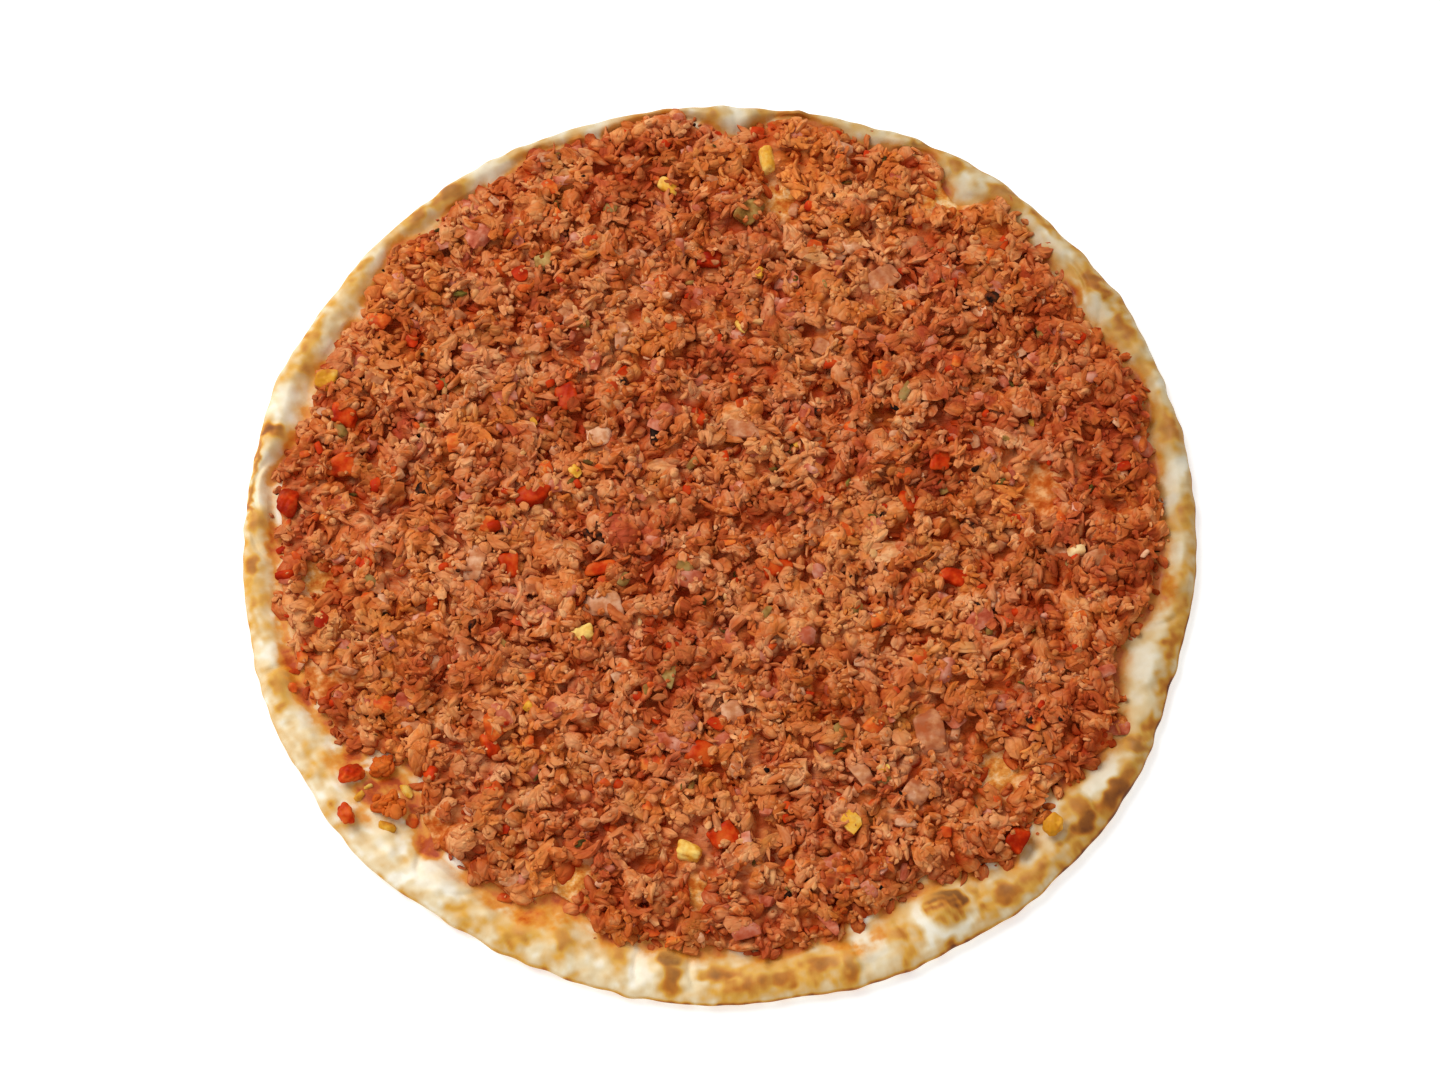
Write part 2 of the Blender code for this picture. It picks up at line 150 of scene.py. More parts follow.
GOLDEN = (  # the same, for broad golden places round the browned spots
    (1.5, 137.5, 5.0, 3.0, 0.6),
    (14.5, 137.5, 4.5, 2.5, 0.6),
    (28, 137.0, 7.0, 3.0, 0.7),
    (36, 138.0, 9.0, 2.6, 0.8),
    (51.5, 139.0, 6.0, 3.0, 0.8),
    (52, 133.0, 6.0, 4.0, 0.6),
    (62, 137.0, 6.0, 4.0, 0.7),
    (78.5, 139.0, 6.0, 2.0, 0.45),
    (97, 138.0, 6.0, 2.5, 0.35),
    (115, 138.0, 9.0, 2.5, 0.3),
    (127, 138.0, 6.0, 3.5, 1.0),
    (133, 137.0, 8.0, 3.0, 0.7),
    (144, 136.0, 3.5, 5.0, 0.6),
    (151, 136.0, 7.0, 4.0, 0.5),
    (157, 132.0, 5.0, 6.0, 0.6),
    (167.5, 137.0, 4.5, 4.0, 0.7),
    (184, 137.5, 8.0, 3.0, 0.8),
    (189, 135.0, 8.0, 5.0, 0.4),
    (199.5, 135.0, 4.0, 5.0, 0.9),
    (208, 136.0, 10.0, 5.0, 0.2),
    (243, 133.0, 9.0, 5.0, 0.6),
    (255, 132.0, 6.0, 4.0, 0.5),
    (249, 130.0, 8.0, 5.0, 0.7),
    (257.5, 130.0, 3.0, 4.0, 0.8),
    (263.3, 132.0, 3.4, 8.0, 1.0),
    (276, 134.5, 22.0, 4.5, 1.0),
    (285.5, 134.0, 4.0, 6.0, 0.8),
    (288.5, 137.0, 5.0, 2.5, 0.6),
    (292.5, 132.0, 4.5, 6.0, 0.7),
    (306, 136.0, 10.0, 4.0, 0.8),
    (313, 137.0, 12.0, 3.5, 0.7),
    (320, 136.0, 6.0, 5.0, 0.9),
    (327, 137.5, 12.0, 2.2, 0.9),
    (334, 134.5, 8.0, 4.0, 0.8),
    (341, 137.0, 10.0, 3.0, 0.5),
    (348, 135.5, 12.0, 3.0, 0.6),
    (356, 137.0, 10.0, 3.0, 0.5),
)
PALE_PUFFS = (  # the same, for puffs that stayed pale
    (7, 134.5, 5.0, 2.4, 1.0),
    (20, 134.5, 4.0, 2.0, 0.8),
    (32, 134.0, 4.0, 2.4, 1.0),
    (42, 137.5, 6.0, 1.6, 0.8),
    (57, 134.0, 2.5, 3.5, 0.9),
    (68, 137.5, 4.5, 2.4, 1.0),
    (87.5, 134.0, 3.0, 3.5, 1.0),
    (105, 137.5, 6.0, 2.4, 1.0),
    (122, 136.0, 4.5, 3.5, 1.0),
    (139.5, 134.0, 4.0, 3.8, 0.9),
    (162, 135.0, 5.0, 3.5, 0.9),
    (173, 135.6, 6.0, 2.6, 1.1),
    (182, 135.0, 3.0, 2.5, 0.6),
    (196.4, 134.5, 2.4, 4.0, 1.1),
    (206, 133.0, 5.0, 2.6, 0.6),
    (224, 134.5, 6.0, 4.0, 0.8),
    (232, 131.0, 6.0, 5.5, 1.1),
    (240, 130.5, 6.0, 3.5, 0.6),
    (254, 135.5, 5.0, 3.0, 0.5),
    (260.4, 131.5, 3.6, 6.0, 1.1),
    (267, 132.0, 2.4, 4.0, 1.0),
    (289, 132.0, 4.6, 4.5, 1.1),
    (314, 132.5, 6.0, 2.0, 0.5),
    (325.5, 132.2, 6.5, 2.2, 1.1),
    (336, 132.0, 5.0, 3.0, 0.7),
    (341.5, 128.5, 5.0, 4.0, 1.1),
    (347.5, 130.0, 4.0, 3.0, 0.9),
    (357, 133.0, 4.5, 2.6, 1.0),
)
SOAKED = (  # the same, for places soaked with oil and sauce
    (36, 131, 5, 2.5, 0.8),
    (62, 134, 7, 5.0, 0.3),
    (138, 132, 6, 3.0, 0.6),
    (157, 127, 6, 4.0, 0.7),
    (168, 128, 7, 4.0, 0.7),
    (127, 126.5, 8, 4.0, 0.7),
    (142, 126.5, 7, 4.0, 0.75),
    (152, 127, 7, 4.0, 0.6),
    (181, 127.5, 9, 4.5, 1.15),
    (192, 127, 9, 4.5, 1.15),
    (201, 127.5, 10, 4.5, 1.1),
    (199.5, 128.5, 7, 3.5, 0.9),
    (213, 131, 6, 3.0, 0.5),
    (232, 120, 6, 4.5, 1.1),
    (243, 127, 9, 4.0, 0.7),
    (218, 124, 16, 7.0, 0.5),
    (220, 134, 4, 2.0, 0.45),
    (221, 123, 6, 4.0, 0.95),
    (218.5, 128, 5, 3.0, 0.95),
    (226, 121, 6, 4.0, 1.1),
    (229, 125, 5, 3.5, 1.1),
    (214, 126, 5, 3.0, 0.9),
    (198, 130, 9, 3.5, 1.0),
    (187, 129, 9, 3.0, 0.9),
    (248, 121, 6, 8.0, 0.55),
    (262, 124, 7, 3.0, 0.5),
    (311, 127.5, 6, 3.0, 0.4),
    (287, 126, 8, 6.0, 0.55),
    (316, 127, 6, 4.0, 0.4),
    (352, 130, 5, 4.0, 0.6),
)
CREASES = (  # angle and distance of the middle, direction from the tangent, half length, depth in mm
    (36.5, 136.4, 18, 7.0, 0.9),
    (31, 133.0, 35, 4.0, 0.6),
    (59, 137.0, 70, 3.0, 0.7),
    (88, 134.0, 80, 4.0, 0.5),
    (142, 134.0, 60, 4.0, 0.5),
    (165.4, 136.0, 80, 3.0, 0.9),
    (174, 138.6, 2, 8.0, 0.8),
    (182, 136.6, -30, 5.0, 0.7),
    (198, 134.5, 86, 4.5, 1.0),
    (229, 131.0, 60, 6.0, 0.7),
    (237, 130.0, -55, 6.0, 0.6),
    (259.4, 131.0, 85, 5.5, 0.9),
    (266.2, 132.0, 80, 5.5, 0.9),
    (286.8, 132.5, 84, 5.5, 0.9),
    (293.2, 130.5, 70, 5.0, 0.8),
    (304.4, 129.5, -60, 5.0, 0.8),
    (317.6, 134.0, 75, 4.5, 0.8),
    (322.6, 133.0, -70, 4.5, 0.9),
    (331.8, 134.0, 85, 3.5, 0.7),
    (347.6, 132.5, 60, 4.0, 0.7),
)
BUBBLE = (299.2, 129.8, 7.4)  # largest blister, browned in arcs: angle, distance and radius in mm

# The mince: its height and waves as the solid has them, and what lies on it
MINCE_HEIGHT = 4.2 * MM
MINCE_WAVES = 28
MINCE_WAVE_LENGTHS = (15.0 * MM, 34.0 * MM)
MINCE_WAVE_HEIGHT = 0.17 * MM
RELIEF_SEED = 7
THIN_SPOTS = (  # x, y, radius and how much lower, in mm, and how yellow the soaked dough shows (0 to 1);
    # the solid has the first six
    (94, 14, 11, 1.5, 0.1),
    (80, -74, 9, 1.5, 0.6),
    (19, 108, 8, 1.2, 0.55),
    (68, 108, 8, 1.2, 0.8),
    (-42, -106, 8, 1.2, 0.7),
    (-116, -45, 8, 1.4, 0.2),
    (-119, -15, 7, 1.0, 0.6),
    (-7, -109, 6, 1.0, 0.6),
    (-84, -90, 9, 2.0, 0.1),
)
GLOWS = (  # x, y and radius in mm, and how much paler and more orange the mince is, or darker where below 0
    (88, 12, 12, 1.0),
    (-95, -72, 12, 0.9),
    (-50, -108, 9, 0.8),
    (22, 108, 12, 0.8),
    (66, 104, 10, 0.6),
    (-45, 84, 10, 0.5),
    (-84, 55, 12, 0.4),
    (-60, -50, 22, 0.4),
    (88, -70, 9, 0.7),
    (-12, -92, 8, 0.5),
    (40, -78, 10, 0.3),
    (-35, -18, 10, 0.5),
    (50, 92, 7, 0.5),
    (112, 32, 14, -0.6),
    (-44, 34, 8, -1.6),
    (62, 15, 8, -1.5),
    (94, -9, 8, -1.4),
    (-112, -58, 8, -1.2),
    (34, -66, 8, -0.8),
    (-52, 78, 7, -1.2),
    (66, -58, 8, -0.8),
    (-95, 65, 8, -1.2),
    (28, -52, 7, -1.2),
    (0, -73, 6, -1.0),
    (123, -12, 7, -1.2),
    (-88, 14, 9, -0.4),
    (52, 60, 14, -0.4),
    (8, 48, 9, -0.4),
    (74, -42, 30, -0.35),
    (-8, 85, 24, -0.3),
    (60, -75, 14, -0.2),
    (-85, -6, 28, 0.3),
    (-30, -80, 24, 0.25),
    (120, 14, 9, -0.7),
    (27, 121, 10, 0.7),
)
MINCE_PATCHES = (  # patches of another colour: size in mm, detail, roughness, noise where it starts and
    # where it is full, strength, colour
    (12.0, 3.0, 0.55, 0.51, 0.64, 0.55, 0xC65A3C),  # rosy
    (8.5, 3.0, 0.55, 0.55, 0.68, 0.65, 0x8C2A1C),  # wine red
    (11.0, 2.0, 0.5, 0.46, 0.3, 0.6, 0xA8682C),  # sallow
    (7.0, 2.0, 0.6, 0.54, 0.7, 0.55, 0xE07A20),  # orange
    (24.0, 2.0, 0.5, 0.5, 0.66, 0.45, 0xDC8634),  # ochre
    (24.0, 2.0, 0.5, 0.5, 0.36, 0.35, 0xB04A30),  # brick red
)
ONION_LINE = 0xECBC98
SAUCE_STAIN = 0xB44E1C
CORE_DROP = 3.1 * MM  # how far the core lies below the solid's top, so that crumbs fill the rest
CORE_INSET = 1.6 * MM  # and inside its edge

# Places of single bits, as x and y in mm
CHARRED_LEAVES = ((-39, -2), (-35.5, -1), (73, 2), (82, 74), (-88, 12), (-20, 30), (52, 38), (-72, -30))
EDGE_BITS = ((-128.5, 21), (-129, -5), (-127.5, -14), (-126.5, -26), (-116, -29), (-119, 25), (-121, -36))
STAINED = (
    *((-122, -39), (-123.5, -43), (-120.5, -46), (-118, -51)),
    *((-124, -48), (-127, 2), (-124, -9), (-88, -88)),
)
BAY_BITS = ((-103.5, -81), (-99, -85), (-101, -78), (-95, -90), (-90, -79))


def linear(value):
    """An sRGB hex colour as linear red, green and blue."""
    channels = np.array([(value >> shift) & 255 for shift in (16, 8, 0)]) / 255.0
    light = np.where(channels <= 0.04045, channels / 12.92, ((channels + 0.055) / 1.055) ** 2.4)
    return tuple(float(channel) for channel in light)


# ---------------------------------------------------------------------------------------------- settings


def length_property(name, description, default):
    """A length in metres, with its default."""
    return bpy.props.FloatProperty(
        name=name, description=description, default=default, min=0.0, subtype="DISTANCE", unit="LENGTH"
    )


def colour_property(name, description, value):
    """A colour, with its sRGB hex default."""
    return bpy.props.FloatVectorProperty(
        name=name, description=description, default=linear(value), size=3, min=0.0, max=1.0, subtype="COLOR"
    )


class BreadSettings(bpy.types.PropertyGroup):
    cream: colour_property("Cream", "Colour of the palest baked dough", 0xFAF2DF)
    tan: colour_property("Tan", "Colour of lightly browned dough", 0xE0BA80)
    brown: colour_property("Brown", "Colour of browned blisters", 0xBE7018)
    dark: colour_property("Dark", "Colour of the darkest spots", 0x7A3C0C)
    soaked: colour_property("Soaked", "Colour of dough soaked with oil beside the mince", 0xE0902C)
    blush: colour_property("Blush", "Colour of faintly browned dough", 0xEED8AE)
    amber: colour_property("Amber", "Colour between lightly browned and brown", 0xDCA23E)
    damp: colour_property("Damp", "Colour of dough with a trace of oil", 0xEAC676)
    sauce: colour_property("Sauce", "Colour of dough with sauce on it", 0xCE6412)
    deep_sauce: colour_property("Deep sauce", "Colour of dough with the most sauce", 0xB23E02)
    # Painted shade: the dough on the far right side, away from the light, is multiplied towards this grey
    # tint
    far: colour_property("Far side", "Tint of the dough on the far right side", 0xDCD9D2)
    wrinkle: length_property("Wrinkle", "Height of the fine wrinkles of the rim", 0.12 * MM)


class MinceSettings(bpy.types.PropertyGroup):
    shade: colour_property("Shade", "Colour of the darkest crumbs", 0x963A08)
    meat: colour_property("Meat", "Middle colour of the crumbs", 0xD67434)
    pale: colour_property("Pale", "Colour of the palest crumbs", 0xEEB482)
    # Juice and painted shade: mixed in where crumbs lie deep in the mince, and at the joints of their grains
    juice_and_painted_shade: colour_property("Juice", "Colour deep between the crumbs", 0xB03004)
    oil: colour_property("Oil", "Colour of the oil in thin places", 0xCC6A2A)
    # Painted shade: the crumbs' undersides are mixed towards this dark colour
    foot: colour_property("Foot", "Colour of the crumbs' undersides", 0xAE3200)
    red: colour_property("Red", "Colour of the reddest crumbs", 0xB4422C)
    buff: colour_property("Buff", "Colour of the most buff crumbs", 0xE0A068)
    glow: colour_property("Glow", "Colour of the pale orange places", 0xF0903A)
    scorched: colour_property("Scorched", "Colour of the dark places", 0x7A2C16)
    grease: colour_property("Grease", "Tint of crumbs that oil has run into", 0xFFF2C8)
    sauce_dark: colour_property("Dark sauce", "Darkest colour of sauce in thin places", 0xB44A0C)
    sauce_pale: colour_property("Pale sauce", "Palest colour of sauce in thin places", 0xE8A466)
    dough_dark: colour_property("Dark dough", "Darkest colour of bared, soaked dough", 0xC86A1C)
    dough: colour_property("Dough", "Middle colour of bared, soaked dough", 0xE6A84C)
    dough_pale: colour_property("Pale dough", "Palest colour of bared, soaked dough", 0xF0D09A)
    ruddy_tint: colour_property("Ruddy tint", "Tint of the ruddy kinds of crumb", 0xBA582A)
    buff_tint: colour_property("Buff tint", "Tint of the buff kinds of crumb", 0xD08E58)
    scrap_tint: colour_property("Scrap tint", "Tint of the fallen crumbs, soaked with sauce", 0xCC5E10)
    grain: length_property("Grain", "Depth of the fine relief on the crumbs", 0.3 * MM)
    coarseness: bpy.props.FloatProperty(
        name="Coarseness", description="Size of the crumbs against their usual size", default=1.0, min=0.1
    )


class VegetableSettings(bpy.types.PropertyGroup):
    red: colour_property("Red", "Colour of the red pepper", 0xC43206)
    yellow: colour_property("Yellow", "Colour of the yellow pepper", 0xEAA836)
    green: colour_property("Green", "Colour of the cooked green pepper", 0xA27638)
    onion: colour_property("Onion", "Colour of the cooked onion", 0xCA8456)
    stained: colour_property("Stained onion", "Colour of onion stained with sauce", 0xC86C4C)
    tomato: colour_property("Tomato", "Colour of the bits of tomato", 0xD8581C)
    seed: colour_property("Seed", "Colour of the seeds", 0xDCA468)
    herb: colour_property("Herb", "Colour of the dark herb flecks", 0x665420)
    char: colour_property("Char", "Colour of burnt bits", 0x24140E)


class StageSettings(bpy.types.PropertyGroup):
    floor: colour_property("Floor", "Colour of the floor", 0xE8E8E8)
    key: bpy.props.FloatProperty(
        name="Key light", description="Power of the main light", default=72.0, min=0.0, unit="POWER"
    )
    fill: bpy.props.FloatProperty(
        name="Ambient", description="Strength of the light from all round", default=0.57, min=0.0
    )
    elevation: bpy.props.FloatProperty(
        name="Elevation",
        description="Angle of the camera above the floor",
        default=math.radians(70.0),
        subtype="ANGLE",
        unit="ROTATION",
    )
    distance: length_property("Distance", "From the camera to the point it looks at", 1.0)
    lens: bpy.props.FloatProperty(
        name="Lens", description="Focal length in mm on a 36 mm sensor", default=85.0, min=1.0
    )


# ------------------------------------------------------------------------------------- numbers and fields


def waves_round(angle, waves):
    """Sum of cosines round the circle: rows of count, height and first crest in degrees."""
    return sum(height * np.cos(count * (angle - math.radians(crest))) for count, height, crest in waves)


def smooth_step(share):
    """A step from 0 to 1 with level ends: share squared times 3 less 2 share."""
    share = np.clip(share, 0.0, 1.0)
    return share * share * (3.0 - 2.0 * share)


def ripples(points, seed, lengths, count=24):
    """A smooth random field of about unit spread: the sum of plane waves in random directions, with lengths
    drawn evenly in ratio between the two given, and random phases."""
    draw = np.random.default_rng(seed)
    dimensions = points.shape[-1]
    turns = draw.normal(size=(count, dimensions))
    turns /= np.linalg.norm(turns, axis=1, keepdims=True)
    sizes = np.exp(draw.uniform(math.log(lengths[0]), math.log(lengths[1]), count))
    phases = draw.uniform(0.0, FULL_TURN, count)
    field = np.zeros(points.shape[:-1])
    for turn, size, phase in zip(turns, sizes, phases):
        field += np.cos(points @ (turn * FULL_TURN / size) + phase)
    return field * math.sqrt(2.0 / count)


def node_points(node):
    """The corners of a CAD node's mesh, as rows of x, y, z."""
    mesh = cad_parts[node].data
    points = np.empty(len(mesh.vertices) * 3, np.float32)
    mesh.vertices.foreach_get("co", points)
    return points.reshape(-1, 3).astype(float)


def outline_table(node, directions=108, fine=2160):
    """The solid's outermost point in each direction, carried smoothly round by its Fourier series."""
    points = node_points(node)
    radius = np.hypot(points[:, 0], points[:, 1])
    angle = np.arctan2(points[:, 1], points[:, 0])
    sector = np.rint(angle / FULL_TURN * directions).astype(int) % directions
    outer = np.zeros(directions)
    np.maximum.at(outer, sector, radius)
    spectrum = np.fft.rfft(outer)
    padded = np.zeros(fine // 2 + 1, complex)
    padded[: len(spectrum)] = spectrum
    return np.fft.irfft(padded, fine) * fine / directions


BREAD_TABLE = outline_table("flatbread")
MINCE_TABLE = outline_table("mince_layer")


def round_table(angle, table):
    """A value from a table that runs once round the circle."""
    place = np.mod(angle, FULL_TURN) / FULL_TURN * len(table)
    return np.interp(place, np.arange(len(table) + 1), np.append(table, table[0]))


def bread_radius(angle):
    """Distance of the bread's edge from the middle."""
    return round_table(angle, BREAD_TABLE)


def mince_radius(angle):
    """Distance of the mince's edge from the middle."""
    return round_table(angle, MINCE_TABLE)


def bells(x, y, rows):
    """Sum of bells: rows of x, y, width and height."""
    total = np.zeros(np.shape(x))
    for at_x, at_y, width, height in rows:
        total += height * np.exp(-((x - at_x) ** 2 + (y - at_y) ** 2) / width**2)
    return total


def polar_rows(rows):
    """Rows of angle, distance in mm, width in mm and height in mm, as x, y, width and height in metres."""
    return [
        (
            out * MM * math.cos(math.radians(angle)),
            out * MM * math.sin(math.radians(angle)),
            width * MM,
            height * MM,
        )
        for angle, out, width, height in rows
    ]


def patches(angle, radius, rows, swell=1.0):
    """Soft-edged patches lying along the rim: rows of angle, distance, half length, half width, strength.
    swell widens them all."""
    total = np.zeros(np.shape(angle))
    for at, out, half_length, half_width, strength in rows:
        turn = np.mod(angle - math.radians(at) + math.pi, FULL_TURN) - math.pi
        along = turn * out / (swell * half_length)
        across = (radius / MM - out) / (swell * half_width)
        total = np.maximum(total, strength * np.exp(-((0.5 * along**2 + 0.5 * across**2) ** 1.8)))
    return total


def creases(angle, radius):
    """Narrow valleys in the rim. Each is a bell across its line, about 0.8 mm wide, and a flat-topped one
    along it."""
    total = np.zeros(np.shape(angle))
    for at, out, turned, half_length, depth in CREASES:
        turn = np.mod(angle - math.radians(at) + math.pi, FULL_TURN) - math.pi
        along, across = turn * out, radius / MM - out
        c, s = math.cos(math.radians(turned)), math.sin(math.radians(turned))
        down = along * c + across * s
        aside = across * c - along * s + 0.035 * down**2
        total += depth * MM * np.exp(-((aside / 0.8) ** 2)) * np.exp(-((down / half_length) ** 4))
    return total


def crown_height(angle):
    """Height of the rim's crown: waves round the rim, and lower where the rim is narrow."""
    swell = waves_round(angle, ((5, CROWN_SWELL, 20.0), (9, 0.6 * CROWN_SWELL, 7.0)))
    width = bread_radius(angle) - mince_radius(angle) - 2.0 * GAP
    return BED_HEIGHT + (CROWN_HEIGHT + swell - BED_HEIGHT) * np.minimum(1.0, width / FULL_WIDTH)


def small_bubbles():
    """Little bubbles strewn over the rim: angle, distance, width and rise in mm."""
    draw = np.random.default_rng(31)
    count = 130
    angle = draw.uniform(0.0, 360.0, count)
    outer = bread_radius(np.radians(angle)) / MM
    inner = mince_radius(np.radians(angle)) / MM
    out = inner + (outer - inner) * draw.uniform(0.15, 0.85, count)
    width = draw.uniform(1.0, 2.6, count)
    rise = width * draw.uniform(0.12, 0.3, count)
    return np.stack([angle, out, width, rise], axis=1)


SMALL_BUBBLES = small_bubbles()


def rim_height(angle, share, wrinkle):
    """Height of the rim at a share of its width from its foot. A smooth step climbs to the crown and a
    quarter ellipse falls from it to the edge. Blisters, small bubbles, creases and wrinkles are added, and
    fade out at the foot and the edge."""
    crown = crown_height(angle)
    climb = BED_HEIGHT + (crown - BED_HEIGHT) * smooth_step(share / CROWN_AT)
    past = np.clip((share - CROWN_AT) / (1.0 - CROWN_AT), 0.0, 1.0)
    fall = EDGE_HEIGHT + (crown - EDGE_HEIGHT) * np.sqrt(np.maximum(0.0, 1.0 - past**2))
    height = np.where(share < CROWN_AT, climb, fall)
    foot = mince_radius(angle) + 2.0 * GAP
    radius = foot + share * (bread_radius(angle) - foot)
    x, y = radius * np.cos(angle), radius * np.sin(angle)
    fade = np.clip((1.0 - share) * 5.0, 0.0, 1.0) * np.clip(share * 5.0, 0.0, 1.0)
    fine = bells(x, y, polar_rows(BLISTERS)) + bells(x, y, polar_rows(SMALL_BUBBLES))
    flat = np.stack([x, y], axis=-1)
    fine = fine + wrinkle * ripples(flat, 5, (3.0 * MM, 14.0 * MM), 36) - creases(angle, radius)
    return height + fade * fine


def bread_height(x, y):
    """Top of the bread at a place: the bed inside the mince's edge, and the rim outside it."""
    angle, radius = np.arctan2(y, x), np.hypot(x, y)
    foot = mince_radius(angle) + 2.0 * GAP
    share = (radius - foot) / (bread_radius(angle) - foot)
    rim = rim_height(angle, np.clip(share, 0.0, 1.0), 0.0)
    return np.where(share <= 0.0, BED_HEIGHT, np.where(share < 1.0, rim, 0.0))


def mince_waves():
    """Direction, length and phase of each wave on the solid mince."""
    draw = np.random.default_rng(RELIEF_SEED)
    turns = draw.uniform(0.0, FULL_TURN, MINCE_WAVES)
    lengths = draw.uniform(*MINCE_WAVE_LENGTHS, MINCE_WAVES)
    phases = draw.uniform(0.0, FULL_TURN, MINCE_WAVES)
    return np.stack([turns, lengths, phases], axis=1)


def mince_top(x, y):
    """Top of the solid mince away from its edge: plane waves, less the sparse places."""
    height = np.full(np.shape(x), BED_HEIGHT + GAP + MINCE_HEIGHT)
    for turn, length, phase in mince_waves():
        along = x * math.cos(turn) + y * math.sin(turn)
        height += MINCE_WAVE_HEIGHT * np.sin(FULL_TURN * along / length + phase)
    return height - bells(x, y, [(a * MM, b * MM, r * MM, low * MM) for a, b, r, low, _ in THIN_SPOTS])


def layer_top(x, y):
    """Top of the solid mince with its slope down to the edge."""
    inset = mince_radius(np.arctan2(y, x)) - np.hypot(x, y)
    return BED_HEIGHT + (0.3 + 0.7 * smooth_step(inset / (5.0 * MM))) * (mince_top(x, y) - BED_HEIGHT)


def sparse(x, y):
    """How sparse the crumbs are, 0 to 1."""
    return np.clip(bells(x, y, [(a * MM, b * MM, r * MM, 1.0) for a, b, r, _, _ in THIN_SPOTS]), 0.0, 1.0)


def glow(x, y):
    """How much paler and more orange the mince is than elsewhere, -2 to 1."""
    return np.clip(bells(x, y, [(a * MM, b * MM, r * MM, more) for a, b, r, more in GLOWS]), -2.0, 1.0)


def oily(x, y):
    """How much oil has run into the mince, 0 to 1: more towards the edge."""
    return 0.25 + 0.32 * smooth_step((np.hypot(x, y) - 95.0 * MM) / (22.0 * MM))


def core_top(x, y):
    """Top of the core under the crumbs: it follows the solid, lower, and falls away at the edge."""
    inset = mince_radius(np.arctan2(y, x)) - np.hypot(x, y)
    room = mince_top(x, y) - BED_HEIGHT - 2.0 * GAP
    share = 0.3 + 0.7 * smooth_step(inset / (7.0 * MM))
    return BED_HEIGHT + GAP + np.maximum(0.35 * MM, share * room - CORE_DROP)


# ------------------------------------------------------------------------------------------------- meshes


def new_piece(name, points, faces, material, attributes=(), sharp=None):
    """A mesh object at the origin from a row of x, y, z for each corner and arrays of faces with 3 or 4
    corners. attributes holds a name and a value for each corner."""
    mesh = bpy.data.meshes.new(name)
    mesh.vertices.add(len(points))
    mesh.vertices.foreach_set("co", np.asarray(points, np.float32).ravel())
    loops = np.concatenate([each.ravel() for each in faces])
    sizes = np.concatenate([np.full(len(each), each.shape[1]) for each in faces])
    mesh.loops.add(len(loops))
    mesh.loops.foreach_set("vertex_index", loops.astype(np.int32))
    mesh.polygons.add(len(sizes))
    mesh.polygons.foreach_set("loop_start", (np.cumsum(sizes) - sizes).astype(np.int32))
    mesh.update(calc_edges=True)
    if mesh.validate():
        raise RuntimeError(f"{name} has bad faces")
    for key, values in attributes:
        values = np.asarray(values, np.float32)
        kind, field = ("FLOAT", "value") if values.ndim == 1 else ("FLOAT_VECTOR", "vector")
        mesh.attributes.new(key, kind, "POINT").data.foreach_set(field, values.ravel())
    mesh.shade_smooth()
    if sharp is not None:
        mesh.set_sharp_from_angle(angle=math.radians(sharp))
    mesh.materials.append(material)
    piece = bpy.data.objects.new(name, mesh)
    bpy.context.scene.collection.objects.link(piece)
    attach(piece, "root")
    return piece


def ring_faces(rings, around):
    """Quads between rings of equally many points, and fans to a pole before the first and after the last.
    Point 0 is the first pole, then come the rings, then the last pole."""
    step = np.arange(around)
    after = (step + 1) % around
    low = 1 + np.arange(rings - 1)[:, None] * around
    quads = np.stack([low + step, low + after, low + around + after, low + around + step], axis=-1)
    last = 1 + (rings - 1) * around
    first_fan = np.stack([np.zeros_like(step), 1 + after, 1 + step], axis=-1)
    last_fan = np.stack([last + step, last + after, np.full_like(step, last + around)], axis=-1)
    return [quads.reshape(-1, 4), first_fan, last_fan]


def with_poles(x, y, z, first, last):
    """Rings of points and two poles, as rows of x, y, z."""
    rings = np.stack([x, y, z], axis=-1).reshape(-1, 3)
    return np.concatenate([[first], rings, [last]])


def pole_values(values, first, last):
    """Values on rings with those of the two poles."""
    return np.concatenate([[first], values.ravel(), [last]])


# ---------------------------------------------------------------------------------------------- materials


def add(tree, kind, values=(), links=(), **settings):
    """One node with its settings, its sockets' values and the sockets that feed it."""
    node = tree.nodes.new(kind)
    for key, value in settings.items():
        setattr(node, key, value)
    for socket, value in dict(values).items():
        node.inputs[socket].default_value = value
    for socket, source in dict(links).items():
        tree.links.new(source, node.inputs[socket])
    return node


def new_material(name):
    """A material whose tree is empty but for the Principled shader and the output."""
    material = bpy.data.materials.new(name)
    material.use_nodes = True
    return material, material.node_tree, material.node_tree.nodes["Principled BSDF"]


def attribute(tree, name):
    """The number that an attribute of the mesh holds."""
    return add(tree, "ShaderNodeAttribute", attribute_name=name).outputs["Fac"]


def drawn_out(tree, name, share):
    """The place held by an attribute, squeezed along its first axis so that what it carries is drawn out
    along it, as fibres are."""
    own = add(tree, "ShaderNodeAttribute", attribute_name=name).outputs["Vector"]
    return add(tree, "ShaderNodeMapping", {"Scale": (share, 1.0, 1.0)}, {"Vector": own}).outputs["Vector"]


def noise(tree, size, detail=3.0, roughness=0.55, place=None):
    """Noise whose bumps are about size metres apart, 0 to 1, in object space or at a given place."""
    if place is None:
        place = add(tree, "ShaderNodeTexCoord").outputs["Object"]
    values = {"Scale": 1.0 / size, "Detail": detail, "Roughness": roughness}
    return add(tree, "ShaderNodeTexNoise", values, {"Vector": place}).outputs["Fac"]


def cells(tree, size, place, feature, output):
    """Packed cells about size metres across: their distance to the nearest edge in cell widths, or a random
    colour for each."""
    made = add(tree, "ShaderNodeTexVoronoi", {"Scale": 1.0 / size}, {"Vector": place}, feature=feature)
    return made.outputs[output]


